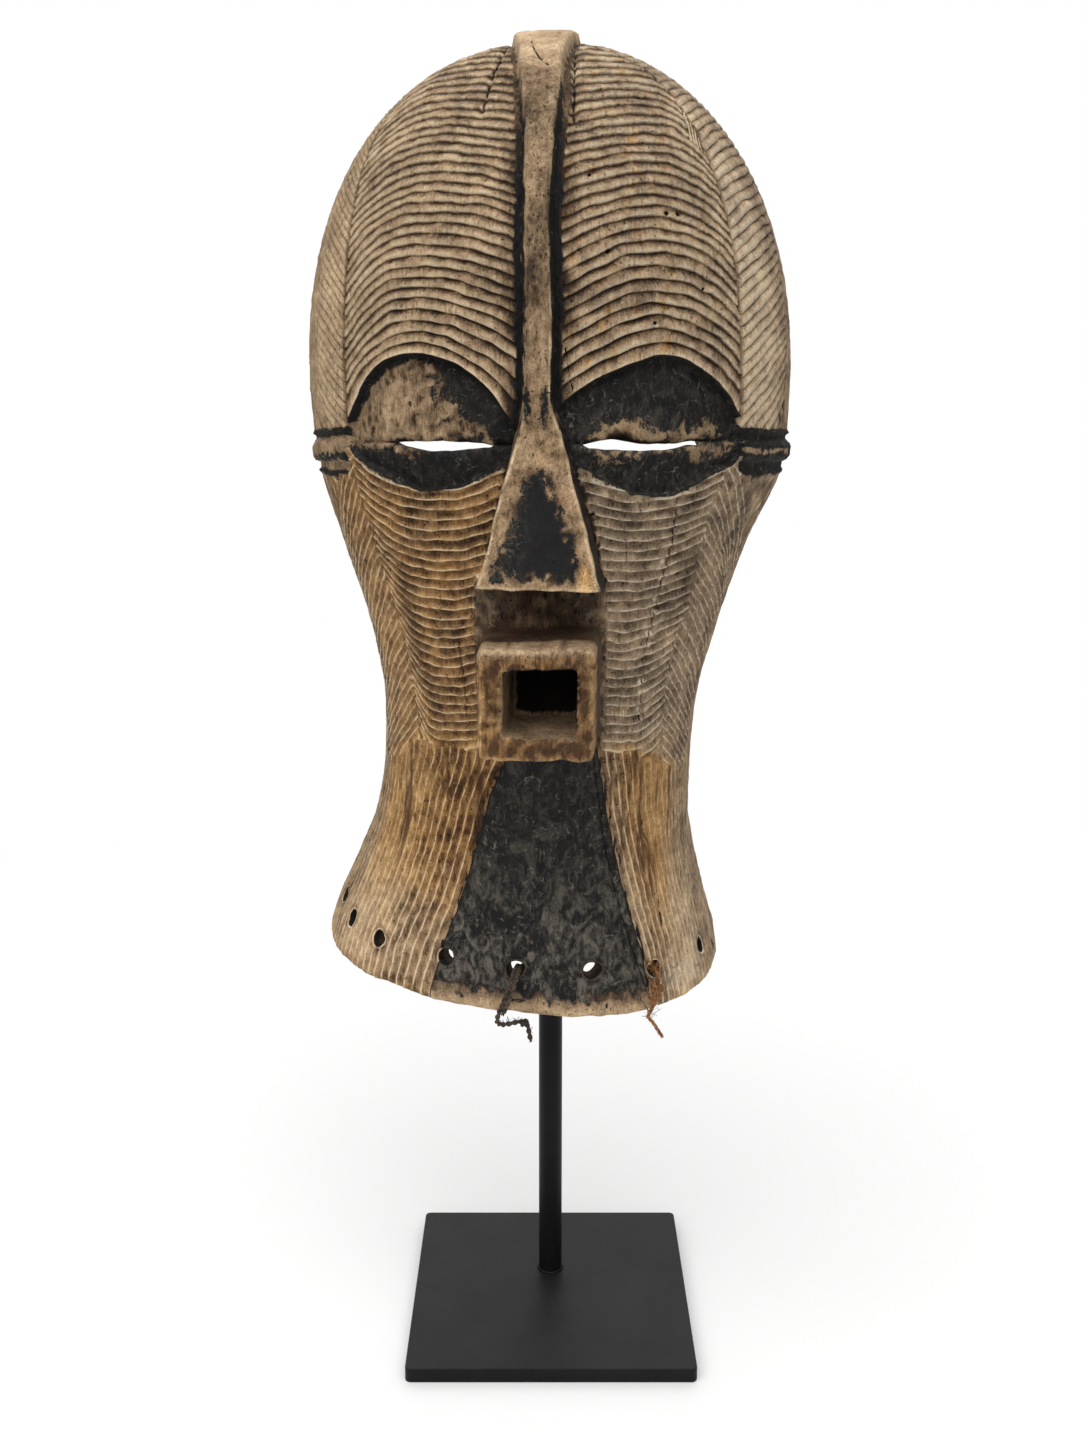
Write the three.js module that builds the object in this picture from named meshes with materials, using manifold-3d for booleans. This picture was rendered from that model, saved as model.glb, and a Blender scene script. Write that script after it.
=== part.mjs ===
// A carved wooden face mask with a striped face, a crest, slit eyes and a square mouth, held upright
// on a black steel stand: a square foot plate, a rod and a cradle inside the hollow of the mask.
// Millimetres, +Z up. The origin is the centre of the foot plate's underside, +Y points away from the viewer.
import * as THREE from "three";
import { mergeGeometries, mergeVertices } from "three/addons/utils/BufferGeometryUtils.js";
import Module from "manifold-3d";

const wasm = await Module();
wasm.setup();

// Stand
const PLATE_SIDE = 152;
const PLATE_THICK = 8;
const PLATE_CORNER = 3;
const POST_DIAMETER = 13;
const POST_BACK = 17; // how far the rod stands behind the middle of the plate
const POST_TOP = 300;
const GAP = 0.3; // between pieces that touch
const WELD = 0.02; // corners of a cut piece nearer than this become one
const BAR_WIDTH = 14;
const BAR_THICK = 6;
const SADDLE_REACH = 40; // half the length of the cradle's saddle strip under the crown
const SADDLE_WIDTH = 16;
const SADDLE_THICK = 4;
const SADDLE_DROP = 3.5; // the crown falls away towards the front
const FOOT_BAR_Z = 258;

// Mask, in its own frame, which is turned about the rod
const MASK_YAW = THREE.MathUtils.degToRad(3.5);
const WALL = 10;
const REAR = 70; // plane of the open back
const EYE_LEVEL = 510; // the widest level: the crown is a dome above it
const CROWN_HEIGHT = 157.5;
const CROWN_POWER = { left: 2.2, right: 2.1 };
const SECTION_POWER = 2.2;
const BODY_BOTTOM = 178; // below the rim, where the body is cut
const RIM_Z = 204.5; // rim height at the middle, and its slope from side to side
const RIM_SLOPE = -0.062;
const BLOCK_HALF = 200; // half the side of the blocks that cut right across the mask
// Levels of the face: half widths to each side, the front, and where the side turns straight back
const LEVELS = [
  { z: 178, left: 129, right: 95, front: -80, side: 40 },
  { z: 196, left: 127, right: 92.5, front: -78, side: 40 },
  { z: 225, left: 119.5, right: 84.5, front: -74, side: 38 },
  { z: 255, left: 106, right: 77.5, front: -70, side: 35 },
  { z: 285, left: 94, right: 73.5, front: -69, side: 32 },
  { z: 315, left: 88.5, right: 74, front: -72, side: 30 },
  { z: 345, left: 87.5, right: 76.5, front: -79, side: 31 },
  { z: 385, left: 94, right: 86.5, front: -84, side: 34 },
  { z: 425, left: 107, right: 100, front: -87, side: 37 },
  { z: 474, left: 121, right: 119.5, front: -91, side: 40 },
  { z: 510, left: 123.5, right: 120.5, front: -92, side: 40 },
];

// Carving
const FEATURE_X = 2; // nose and mouth stand a little right of the crest
const CARVE_FRONT = -120; // the sockets and slits are cut from here backwards
const SLIT_BACK = -30;
const SOCKET_BACK = -35;
const SOCKET_DEPTH = 6;
const EYE_ARCH = [
  [9, 480], [17, 498], [32, 512.5], [50, 518.5], [69, 515.5], [84, 502], [92.5, 486],
];
const EYE_FLOOR = [[90, 475], [67, 464], [50, 459], [32, 462.5], [17, 470]];
const SLIT = [[20.5, 479.6], [44, 481.6], [66, 480.6], [48, 477]];
const SLIT_Z = 480;
const LID_LAP = 0.4; // how far a lid runs into the wood beside it
const LID_BULGE = 4.5; // how far a lid swells out of its socket at the slit
const LID_SEAT = 0.2; // the lid's front starts this far behind the socket floor
const LID_THICK = 3;
const NOSE = {
  bridge: { z: 492, half: 6, front: -93 },
  top: { z: 484, half: 10, front: -97 },
  bottom: { z: 420.5, half: 25.5, front: -128 },
  back: -72,
  soften: 2.5,
};
const MOUTH = { z: 371.5, width: 50, height: 49, front: -135, back: -66, spread: 1.5, corner: 5, soft: 2 };
const POCKET = { z: 372, width: 32, height: 30, floor: -91, corner: 2.5, narrowing: 1.5 };
// The crest's line runs up the brow, over the crown and back, in these shares of its length;
// lean is how far its wide top stands to the left, and shoulder where its sides turn into its back
const CREST = {
  half: 6, topHalf: 15, height: 5, root: 4, footSpread: 1.5, shoulder: 0.7,
  flareStart: 0.72, lean: 2.5, rear: 60, bottomZ: 485, browPart: 0.08, crownPart: 0.86,
};
const TEMPLE_BAND = { low: 466, high: 486, inner: 93, outer: 160, taper: 4, raise: 2.2 };
// Lacing holes near the rim: side, height and diameter
const RIM_HOLES = [
  [-110, 237.4, 8], [-102.8, 232.7, 8.5], [-84.5, 229.7, 8.5], [-47.6, 229.4, 8.5],
  [-12.4, 227, 8.5], [25.6, 226, 8.5], [56, 220.8, 8.5], [80.8, 217, 8], [89, 206, 4],
];

// The mask is parted level at the neck, above the eyes and under the crown, so that its hollow stays open
const MASK_PARTS = [
  { name: "mask_chin", low: 0, high: 345 },
  { name: "mask_face", low: 345, high: 500 },
  { name: "mask_brow", low: 500, high: 600 },
  { name: "mask_crown", low: 600, high: 800 },
];

// What is left of the lacing: a dark bark cord and a tuft of orange fibre
const BARK_CORD_DIAMETER = 2.6;
const BARK_CORD = [
  [-11.8, -61, 224.4], [-12.1, -67, 225.4], [-12.5, -73.5, 226.2], [-13.2, -77.8, 225.2],
  [-14.4, -79.2, 221.5], [-16.2, -79.9, 216], [-18.4, -80.6, 210.5], [-20.2, -81, 206], [-20.6, -80, 202.2],
  [-18.8, -77.3, 199.8], [-15.2, -74.9, 199.2], [-11.2, -73.3, 199.6], [-8, -72.4, 199.2],
  [-6.4, -72, 197], [-5.6, -72, 193], [-4.7, -72, 188.6],
];
const FIBRE_DIAMETER = 1.6;
const FIBRE = [
  [51.8, -43, 219.4], [54, -47.5, 220.2], [56.2, -52, 220.6], [57.6, -55.6, 218.2],
  [57.8, -57.6, 213.5], [56.4, -60.2, 208], [54.6, -62.2, 203.4], [53, -61.4, 199.6], [53.4, -58.8, 197],
  [55.6, -57, 193.6], [58, -56.2, 189.5], [60.6, -56, 185.4],
];

// Finishes
const WOOD = new THREE.MeshStandardMaterial({ color: 0x9c8462, roughness: 0.72, metalness: 0 });
const BLACK_STEEL = new THREE.MeshStandardMaterial({ color: 0x1c1c1d, roughness: 0.5, metalness: 0.1 });
const BARK = new THREE.MeshStandardMaterial({ color: 0x2b241e, roughness: 0.85, metalness: 0 });
const STRAW = new THREE.MeshStandardMaterial({ color: 0x9a5a2a, roughness: 0.85, metalness: 0 });

// Value of one column of LEVELS at a height, on a smooth curve that never overshoots
function level(z, key) {
  const last = LEVELS.length - 1;
  const step = (i) => LEVELS[i + 1].z - LEVELS[i].z;
  const rise = (i) => (LEVELS[i + 1][key] - LEVELS[i][key]) / step(i);
  const tangent = (i) => {
    if (i === 0) return rise(0);
    if (i === last) return 0;
    if (rise(i - 1) * rise(i) <= 0) return 0;
    const before = 2 * step(i) + step(i - 1);
    const after = step(i) + 2 * step(i - 1);
    return (before + after) / (before / rise(i - 1) + after / rise(i));
  };
  const height = THREE.MathUtils.clamp(z, LEVELS[0].z, LEVELS[last].z);
  let i = 0;
  while (i < last - 1 && height > LEVELS[i + 1].z) i += 1;
  const t = (height - LEVELS[i].z) / step(i);
  const keep = (1 + 2 * t) * (1 - t) ** 2;
  const bend = step(i) * (t * (1 - t) ** 2 * tangent(i) - t * t * (1 - t) * tangent(i + 1));
  return keep * LEVELS[i][key] + (1 - keep) * LEVELS[i + 1][key] + bend;
}

// A point of the face from its share of the way out, 0 to 1, and its place along the arch:
// a height on a side, or an angle over the crown
function facePoint(out, place, inset) {
  const z = place.z ?? EYE_LEVEL;
  const sideKey = place.side < 0 ? "left" : "right";
  const half = level(z, sideKey) - inset;
  const front = level(z, "front") + inset;
  const back = level(z, "side");
  const y = back - (back - front) * Math.max(1 - out ** SECTION_POWER, 0) ** (1 / SECTION_POWER);
  if (place.angle === undefined) return new THREE.Vector3(place.side * half * out, y, z);
  const power = CROWN_POWER[sideKey];
  const across = Math.abs(Math.cos(place.angle));
  const up = Math.sin(place.angle);
  const reach = out / (across ** power + up ** power) ** (1 / power);
  const crown = CROWN_HEIGHT - inset;
  return new THREE.Vector3(place.side * half * across * reach, y, EYE_LEVEL + crown * up * reach);
}

// Front of the face at a place seen from the front
function faceY(x, z, inset = 0) {
  const sideKey = x < 0 ? "left" : "right";
  const low = Math.min(z, EYE_LEVEL);
  const across = Math.abs(x) / (level(low, sideKey) - inset);
  const up = Math.max(z - EYE_LEVEL, 0) / (CROWN_HEIGHT - inset);
  const power = CROWN_POWER[sideKey];
  const out = Math.min((across ** power + up ** power) ** (1 / power), 1);
  const back = level(low, "side");
  const front = level(low, "front") + inset;
  return back - (back - front) * (1 - out ** SECTION_POWER) ** (1 / SECTION_POWER);
}

// Closed geometry from rings of points: neighbours are joined, and flat or pointed ends are filled
function loft(rings, { open = false, caps = true } = {}) {
  const count = rings[0].length;
  const positions = rings.flat().flatMap((p) => [p.x, p.y, p.z]);
  const index = [];
  const across = open ? count - 1 : count;
  for (let r = 0; r < rings.length - 1; r += 1) {
    for (let i = 0; i < across; i += 1) {
      const a = r * count + i;
      const b = r * count + ((i + 1) % count);
      index.push(a, b, b + count, a, b + count, a + count);
    }
  }
  if (caps) {
    const end = (rings.length - 1) * count;
    for (let i = 1; i < count - 1; i += 1) {
      index.push(0, i + 1, i, end, end + i, end + i + 1);
    }
  }
  const geometry = new THREE.BufferGeometry();
  geometry.setAttribute("position", new THREE.Float32BufferAttribute(positions, 3));
  geometry.setIndex(index);
  return geometry;
}

// Flat filling of an outline of 3-D points, seen along one axis
function filling(outline, flatten) {
  const faces = THREE.ShapeUtils.triangulateShape(outline.map(flatten), []);
  const geometry = new THREE.BufferGeometry();
  const positions = outline.flatMap((p) => [p.x, p.y, p.z]);
  geometry.setAttribute("position", new THREE.Float32BufferAttribute(positions, 3));
  geometry.setIndex(faces.flat());
  return geometry;
}

// Manifold solid of a geometry whose faces all point out, or all point in
function solid(geometry, weld = 1e-3) {
  const bare = geometry.clone();
  bare.deleteAttribute("normal");
  bare.deleteAttribute("uv");
  const merged = mergeVertices(bare, weld);
  const corners = merged.index.array;
  const triangles = [];
  for (let i = 0; i < corners.length; i += 3) {
    const [a, b, c] = [corners[i], corners[i + 1], corners[i + 2]];
    if (a !== b && b !== c && c !== a) triangles.push(a, b, c);
  }
  const vertProperties = new Float32Array(merged.attributes.position.array);
  const build = (order) =>
    new wasm.Manifold(new wasm.Mesh({ numProp: 3, vertProperties, triVerts: new Uint32Array(order) }));
  const made = build(triangles);
  if (made.volume() > 0) return made;
  return build(triangles.reverse());
}

// three.js geometry of a manifold solid
function geometryOf(body) {
  const mesh = body.getMesh();
  const geometry = new THREE.BufferGeometry();
  geometry.setAttribute("position", new THREE.Float32BufferAttribute(mesh.vertProperties, 3));
  geometry.setIndex(Array.from(mesh.triVerts));
  return geometry;
}

// The whole egg of the mask without its carving, moved inwards by inset, from the front to a back plane
function faceBody(inset, rear, { rings, sideSteps, crownSteps }) {
  const places = [];
  for (let i = 0; i < sideSteps; i += 1) {
    places.push({ side: -1, z: THREE.MathUtils.lerp(BODY_BOTTOM, EYE_LEVEL, i / sideSteps) });
  }
  for (let i = 0; i <= crownSteps; i += 1) {
    const angle = Math.PI - (Math.PI * i) / crownSteps;
    places.push({ side: i < crownSteps / 2 ? -1 : 1, angle: Math.min(angle, Math.PI - angle) });
  }
  for (let i = sideSteps - 1; i >= 0; i -= 1) {
    places.push({ side: 1, z: THREE.MathUtils.lerp(BODY_BOTTOM, EYE_LEVEL, i / sideSteps) });
  }
  const arches = [];
  for (let k = 0; k <= rings; k += 1) {
    const out = Math.sin((Math.PI / 2) * (k / rings));
    arches.push(places.map((place) => facePoint(out, place, inset)));
  }
  const rearArch = arches[rings].map((p) => new THREE.Vector3(p.x, rear, p.z));
  const last = places.length - 1;
  const bottom = [
    ...arches.map((arch) => arch[0]).reverse(),
    ...arches.slice(1).map((arch) => arch[last]),
    rearArch[last],
    rearArch[0],
  ];
  const shell = loft([...arches, rearArch], { open: true, caps: false });
  const back = filling(rearArch, (p) => new THREE.Vector2(p.x, p.z));
  const floor = filling(bottom, (p) => new THREE.Vector2(p.x, p.y));
  return solid(mergeGeometries(orient([shell, back, floor])));
}

// Turns the two fillings of a skin so that they face out, as the skin does
function orient([shell, back, floor]) {
  const flip = (geometry) => {
    const corners = Array.from(geometry.index.array).reverse();
    geometry.setIndex(corners);
    return geometry;
  };
  const facing = (geometry) => {
    const [a, b, c] = [0, 1, 2].map((i) =>
      new THREE.Vector3().fromBufferAttribute(geometry.attributes.position, geometry.index.getX(i)),
    );
    return b.sub(a).cross(c.sub(a));
  };
  if (facing(back).y < 0) flip(back);
  if (facing(floor).z > 0) flip(floor);
  return [shell, back, floor];
}

// Prism along Y with an outline in X and Z
function prism(outline, near, far) {
  const shape = new THREE.Shape(outline.map(([x, z]) => new THREE.Vector2(x, z)));
  const geometry = new THREE.ExtrudeGeometry(shape, { depth: far - near, bevelEnabled: false });
  geometry.rotateX(Math.PI / 2);
  geometry.translate(0, far, 0);
  return solid(geometry);
}

// A smooth line through a few points seen from the front, open or closed
function smoothOutline(points, steps, closed = false) {
  const corners = points.map(([x, z]) => new THREE.Vector3(x, 0, z));
  const curve = new THREE.CatmullRomCurve3(corners, closed, "centripetal");
  const outline = curve.getPoints(steps).map((p) => [p.x, p.z]);
  return closed ? outline.slice(1) : outline;
}

// Mirrors an outline to one side of the face
function onSide(points, side) {
  return points.map(([x, z]) => [x * side, z]);
}

// Rectangle with round corners, a ring of points at one depth
function roundedRing(width, height, corner, y, x0, z0) {
  const ring = [];
  const steps = 3;
  const turns = [[1, 1], [-1, 1], [-1, -1], [1, -1]];
  turns.forEach(([sx, sz], turn) => {
    for (let i = 0; i <= steps; i += 1) {
      const angle = (Math.PI / 2) * (turn + i / steps);
      const x = sx * (width / 2 - corner) + corner * Math.cos(angle);
      const z = sz * (height / 2 - corner) + corner * Math.sin(angle);
      ring.push(new THREE.Vector3(x0 + x, y, z0 + z));
    }
  });
  return ring;
}

// Nose: a long wedge with a flat front, square below
function noseSolid() {
  const ring = ({ z, half, front }) => [
    new THREE.Vector3(FEATURE_X - half, NOSE.back, z),
    new THREE.Vector3(FEATURE_X - half, front + NOSE.soften, z),
    new THREE.Vector3(FEATURE_X - half + NOSE.soften, front, z),
    new THREE.Vector3(FEATURE_X + half - NOSE.soften, front, z),
    new THREE.Vector3(FEATURE_X + half, front + NOSE.soften, z),
    new THREE.Vector3(FEATURE_X + half, NOSE.back, z),
  ];
  return solid(loft([ring(NOSE.bridge), ring(NOSE.top), ring(NOSE.bottom)]));
}

// Mouth: a square block with softened edges, and the blind pocket in it
function mouthSolid() {
  const { z, width, height, front, back, spread, corner, soft } = MOUTH;
  return solid(loft([
    roundedRing(width - 2 * soft, height - 2 * soft, corner, front, FEATURE_X, z),
    roundedRing(width, height, corner, front + soft, FEATURE_X, z),
    roundedRing(width + 2 * spread, height + 2 * spread, corner, back, FEATURE_X, z),
  ]));
}

function pocketSolid() {
  const { z, width, height, floor, corner, narrowing } = POCKET;
  return solid(loft([
    roundedRing(width, height, corner, MOUTH.front - 2, FEATURE_X, z),
    roundedRing(width - 2 * narrowing, height - 2 * narrowing, corner, floor, FEATURE_X, z),
  ]));
}

// Crest: a ridge up the middle of the brow, wider and free at the top, over the crown to the back
function crestSolid() {
  const stations = 22;
  const rings = [];
  for (let i = 0; i <= stations; i += 1) {
    const t = i / stations;
    const spine = crestSpine(t);
    const before = crestSpine(Math.max(t - 0.01, 0)).point;
    const after = crestSpine(Math.min(t + 0.01, 1)).point;
    const along = after.sub(before).normalize();
    const outward = new THREE.Vector3(0, -along.z, along.y);
    const flare = THREE.MathUtils.smoothstep(spine.share, CREST.flareStart, 1);
    const half = THREE.MathUtils.lerp(CREST.half, CREST.topHalf, flare);
    const shift = -CREST.lean * flare;
    const place = (x, rise) => spine.point.clone().addScaledVector(outward, rise).setX(x + shift);
    rings.push([
      place(-half - CREST.footSpread, -CREST.root),
      place(-half, CREST.height * CREST.shoulder),
      place(-half * CREST.shoulder, CREST.height),
      place(half * CREST.shoulder, CREST.height),
      place(half, CREST.height * CREST.shoulder),
      place(half + CREST.footSpread, -CREST.root),
    ]);
  }
  return solid(loft(rings));
}

// Middle line of the face from the nose bridge up over the crown: a point, and its share of the way up
function crestSpine(t) {
  const { browPart, crownPart } = CREST;
  if (t < browPart) {
    const z = THREE.MathUtils.lerp(CREST.bottomZ, EYE_LEVEL, t / browPart);
    return { point: new THREE.Vector3(0, faceY(0, z), z), share: 0 };
  }
  if (t < crownPart) {
    const share = Math.sin((Math.PI / 2) * ((t - browPart) / (crownPart - browPart)));
    const z = EYE_LEVEL + CROWN_HEIGHT * share;
    return { point: new THREE.Vector3(0, faceY(0, z), z), share };
  }
  const back = level(EYE_LEVEL, "side");
  const y = THREE.MathUtils.lerp(back, CREST.rear, (t - crownPart) / (1 - crownPart));
  return { point: new THREE.Vector3(0, y, EYE_LEVEL + CROWN_HEIGHT), share: 1 };
}

// One eye lid: a swelling between the slit and the edge of its socket
function lidSolid(edge, side) {
  const columns = 14;
  const rows = 4;
  const middle = edge[Math.round(edge.length / 2)];
  const away = Math.sign(middle[1] - SLIT_Z);
  const ends = [edge[0][0], edge[edge.length - 1][0]];
  const slitZ = SLIT_Z - away * LID_LAP;
  const rings = [];
  for (let i = 0; i <= columns; i += 1) {
    const t = i / columns;
    const [ex, edgeZ] = edge[Math.round(t * (edge.length - 1))];
    const ez = edgeZ + away * 2 * LID_LAP;
    const sx = THREE.MathUtils.lerp(ends[0], ends[1], t);
    const front = [];
    for (let j = 0; j <= rows; j += 1) {
      const s = j / rows;
      const x = side * THREE.MathUtils.lerp(ex, sx, s);
      const z = THREE.MathUtils.lerp(ez, slitZ, s);
      const swell = LID_BULGE * Math.sin((Math.PI / 2) * s) * Math.sin(Math.PI * t) ** 0.5;
      front.push(new THREE.Vector3(x, faceY(x, z) + SOCKET_DEPTH + LID_SEAT - swell, z));
    }
    const back = (p) => new THREE.Vector3(p.x, faceY(p.x, p.z) + SOCKET_DEPTH + LID_THICK, p.z);
    rings.push([...front, ...[...front].reverse().map(back)]);
  }
  return solid(loft(rings));
}

// Straight hole through the wall, square to the face
function rimHole(x, z, diameter) {
  const step = 1;
  const outward = new THREE.Vector3(
    (faceY(x + step, z) - faceY(x - step, z)) / (2 * step),
    -1,
    (faceY(x, z + step) - faceY(x, z - step)) / (2 * step),
  ).normalize();
  const geometry = new THREE.CylinderGeometry(diameter / 2, diameter / 2, 4 * WALL, 12);
  geometry.applyQuaternion(new THREE.Quaternion().setFromUnitVectors(new THREE.Vector3(0, 1, 0), outward));
  geometry.translate(x, faceY(x, z), z);
  return solid(geometry);
}

// Block below the slanting rim, to cut the body off
function belowRim() {
  const half = BLOCK_HALF;
  const outline = [
    [-half, RIM_Z - RIM_SLOPE * half],
    [half, RIM_Z + RIM_SLOPE * half],
    [half, 0],
    [-half, 0],
  ];
  return prism(outline, -half, half);
}

// The carved mask as one solid
function carvedMask() {
  const fine = { rings: 14, sideSteps: 14, crownSteps: 28 };
  const coarse = { rings: 10, sideSteps: 8, crownSteps: 20 };
  let body = faceBody(0, REAR, fine);
  const band = faceBody(-TEMPLE_BAND.raise, REAR - 2, fine);
  const deeper = faceBody(SOCKET_DEPTH, REAR, fine);
  for (const side of [-1, 1]) {
    const { low, high, inner, outer, taper } = TEMPLE_BAND;
    const outline = [[inner, low + taper], [inner, high - taper], [outer, high], [outer, low]];
    const slab = prism(onSide(outline, side), CARVE_FRONT, REAR);
    body = body.add(band.intersect(slab));
  }
  for (const side of [-1, 1]) {
    const arch = smoothOutline(onSide(EYE_ARCH, side), 18);
    const floor = smoothOutline(onSide(EYE_FLOOR, side), 12);
    const socket = prism([...arch, ...floor], CARVE_FRONT, SOCKET_BACK).subtract(deeper);
    body = body.subtract(socket);
    const upper = smoothOutline(EYE_ARCH, 28);
    const lower = smoothOutline([EYE_ARCH[0], ...[...EYE_FLOOR].reverse(), EYE_ARCH[6]], 28);
    body = body.add(lidSolid(upper, side)).add(lidSolid(lower, side));
  }
  body = body.add(crestSolid()).add(noseSolid()).add(mouthSolid());
  body = body.subtract(faceBody(WALL, REAR + 20, coarse));
  body = body.subtract(pocketSolid());
  for (const side of [-1, 1]) {
    const slit = smoothOutline(onSide(SLIT, side), 12, true);
    body = body.subtract(prism(slit, CARVE_FRONT, SLIT_BACK));
  }
  for (const [x, z, diameter] of RIM_HOLES) body = body.subtract(rimHole(x, z, diameter));
  // Only the outer skin is kept, so that no sealed hollow stays behind a lid
  const skins = body.subtract(belowRim()).decompose();
  const carved = skins.reduce((best, skin) => (skin.volume() > best.volume() ? skin : best));
  return solid(geometryOf(carved), WELD);
}

// One level part of the mask, a gap short of the part above it
function maskPart(carved, { low, high }) {
  const block = new THREE.BoxGeometry(2 * BLOCK_HALF, 2 * BLOCK_HALF, high - low - GAP);
  block.translate(0, 0, (low + high - GAP) / 2);
  return geometryOf(carved.intersect(solid(block)));
}

// A round cord along a route of points
function cordGeometry(route, diameter, steps) {
  const curve = new THREE.CatmullRomCurve3(route.map(([x, y, z]) => new THREE.Vector3(x, y, z)));
  const sides = 8;
  const section = new THREE.Shape();
  for (let i = 0; i < sides; i += 1) {
    const angle = (2 * Math.PI * i) / sides;
    const [x, y] = [(diameter / 2) * Math.cos(angle), (diameter / 2) * Math.sin(angle)];
    if (i === 0) section.moveTo(x, y);
    else section.lineTo(x, y);
  }
  section.closePath();
  return new THREE.ExtrudeGeometry(section, { steps, extrudePath: curve, bevelEnabled: false });
}

// Square foot plate with small round corners
function plateGeometry() {
  const half = PLATE_SIDE / 2;
  const shape = new THREE.Shape();
  shape.moveTo(half, 0);
  const turns = [[1, 1], [-1, 1], [-1, -1], [1, -1]];
  turns.forEach(([sx, sy], turn) => {
    const start = (turn * Math.PI) / 2;
    const centre = half - PLATE_CORNER;
    shape.absarc(sx * centre, sy * centre, PLATE_CORNER, start, start + Math.PI / 2, false);
  });
  shape.closePath();
  return new THREE.ExtrudeGeometry(shape, { depth: PLATE_THICK, bevelEnabled: false, curveSegments: 4 });
}

// Rod from the foot plate up into the mask
function postGeometry() {
  const length = POST_TOP - PLATE_THICK - GAP;
  const geometry = new THREE.CylinderGeometry(POST_DIAMETER / 2, POST_DIAMETER / 2, length, 32);
  geometry.rotateX(Math.PI / 2);
  geometry.translate(0, 0, PLATE_THICK + GAP + length / 2);
  return geometry;
}

// Cradle: an upright bar on the rod with a foot against the chin, and a saddle strip under the crown.
// Lengths are measured from the rod's axis, in the mask's frame.
const BAR_BACK = -POST_DIAMETER / 2 - GAP;
const BAR_MIDDLE = BAR_BACK - BAR_THICK / 2;

// Height of the saddle's upper side at a distance x from the middle
function saddleTop(x) {
  let z = EYE_LEVEL + CROWN_HEIGHT - WALL;
  while (faceY(x, z, WALL) > BAR_MIDDLE + POST_BACK && z > EYE_LEVEL) z -= 0.05;
  return z - 3 * GAP - SADDLE_DROP;
}

function cradleBarGeometry() {
  const chin = faceY(0, FOOT_BAR_Z, WALL) - POST_BACK + 3 * GAP;
  const bottom = FOOT_BAR_Z - BAR_THICK / 2;
  const top = saddleTop(BAR_WIDTH / 2) - SADDLE_THICK - GAP;
  const upright = new THREE.BoxGeometry(BAR_WIDTH, BAR_THICK, top - bottom);
  upright.translate(0, BAR_MIDDLE, (top + bottom) / 2);
  const foot = new THREE.BoxGeometry(BAR_WIDTH, BAR_BACK - chin, BAR_THICK);
  foot.translate(0, (BAR_BACK + chin) / 2, FOOT_BAR_Z);
  return geometryOf(solid(upright).add(solid(foot)));
}

function cradleSaddleGeometry() {
  const near = BAR_MIDDLE - SADDLE_WIDTH / 2;
  const far = BAR_MIDDLE + SADDLE_WIDTH / 2;
  const rings = [];
  const steps = 16;
  for (let i = 0; i <= steps; i += 1) {
    const x = THREE.MathUtils.lerp(-SADDLE_REACH, SADDLE_REACH, i / steps);
    const top = saddleTop(x);
    rings.push([
      new THREE.Vector3(x, near, top - SADDLE_THICK),
      new THREE.Vector3(x, near, top),
      new THREE.Vector3(x, far, top),
      new THREE.Vector3(x, far, top - SADDLE_THICK),
    ]);
  }
  return geometryOf(solid(loft(rings)));
}

function piece(name, geometry, material) {
  const mesh = new THREE.Mesh(geometry, material);
  mesh.name = name;
  return mesh;
}

const stand = new THREE.Group();
const post = piece("stand_post", postGeometry(), BLACK_STEEL);
post.position.y = POST_BACK;
stand.add(piece("base_plate", plateGeometry(), BLACK_STEEL), post);

// The mask's frame has its origin on the rod's axis
const worn = new THREE.Group();
worn.position.y = POST_BACK;
worn.rotation.z = -MASK_YAW;
const onRod = (geometry) => geometry.translate(0, -POST_BACK, 0);
const carved = carvedMask();
for (const part of MASK_PARTS) worn.add(piece(part.name, onRod(maskPart(carved, part)), WOOD));
worn.add(
  piece("cradle_bar", cradleBarGeometry(), BLACK_STEEL),
  piece("cradle_saddle", cradleSaddleGeometry(), BLACK_STEEL),
  piece("bark_cord", onRod(cordGeometry(BARK_CORD, BARK_CORD_DIAMETER, 34)), BARK),
  piece("fibre_tie", onRod(cordGeometry(FIBRE, FIBRE_DIAMETER, 30)), STRAW),
);

const songyeMask = new THREE.Group();
songyeMask.add(stand, worn);

export default songyeMask;
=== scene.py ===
import math

import bmesh
import bpy
import numpy as np
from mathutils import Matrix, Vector
from mathutils.geometry import delaunay_2d_cdt


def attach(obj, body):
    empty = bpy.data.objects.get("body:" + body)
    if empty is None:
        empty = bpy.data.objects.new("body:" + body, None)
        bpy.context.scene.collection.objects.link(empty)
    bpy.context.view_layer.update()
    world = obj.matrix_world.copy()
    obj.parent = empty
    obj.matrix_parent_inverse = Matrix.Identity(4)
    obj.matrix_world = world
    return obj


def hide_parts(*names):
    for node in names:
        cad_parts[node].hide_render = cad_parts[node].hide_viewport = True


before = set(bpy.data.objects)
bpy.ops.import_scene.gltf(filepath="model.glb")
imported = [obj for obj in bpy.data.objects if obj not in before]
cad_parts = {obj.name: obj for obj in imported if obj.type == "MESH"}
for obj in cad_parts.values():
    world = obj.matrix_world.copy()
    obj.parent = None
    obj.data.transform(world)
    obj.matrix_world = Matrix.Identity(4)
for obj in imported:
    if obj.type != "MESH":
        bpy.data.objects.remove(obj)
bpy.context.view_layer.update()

# Camera: it stands about three quarters of a metre before the foot, a little above the eyes of the mask,
# and looks slightly down at the whole object.
CAMERA_PLACE = (-0.0042, -0.7712, 0.5106)
CAMERA_DIP = 12.94  # degrees below level
camera_data = bpy.data.cameras.new("camera")
camera_data.lens = 37.93
camera_data.sensor_width = 36.0
camera_data.clip_start = 0.01
camera = bpy.data.objects.new("camera", camera_data)
camera.location = CAMERA_PLACE
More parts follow.
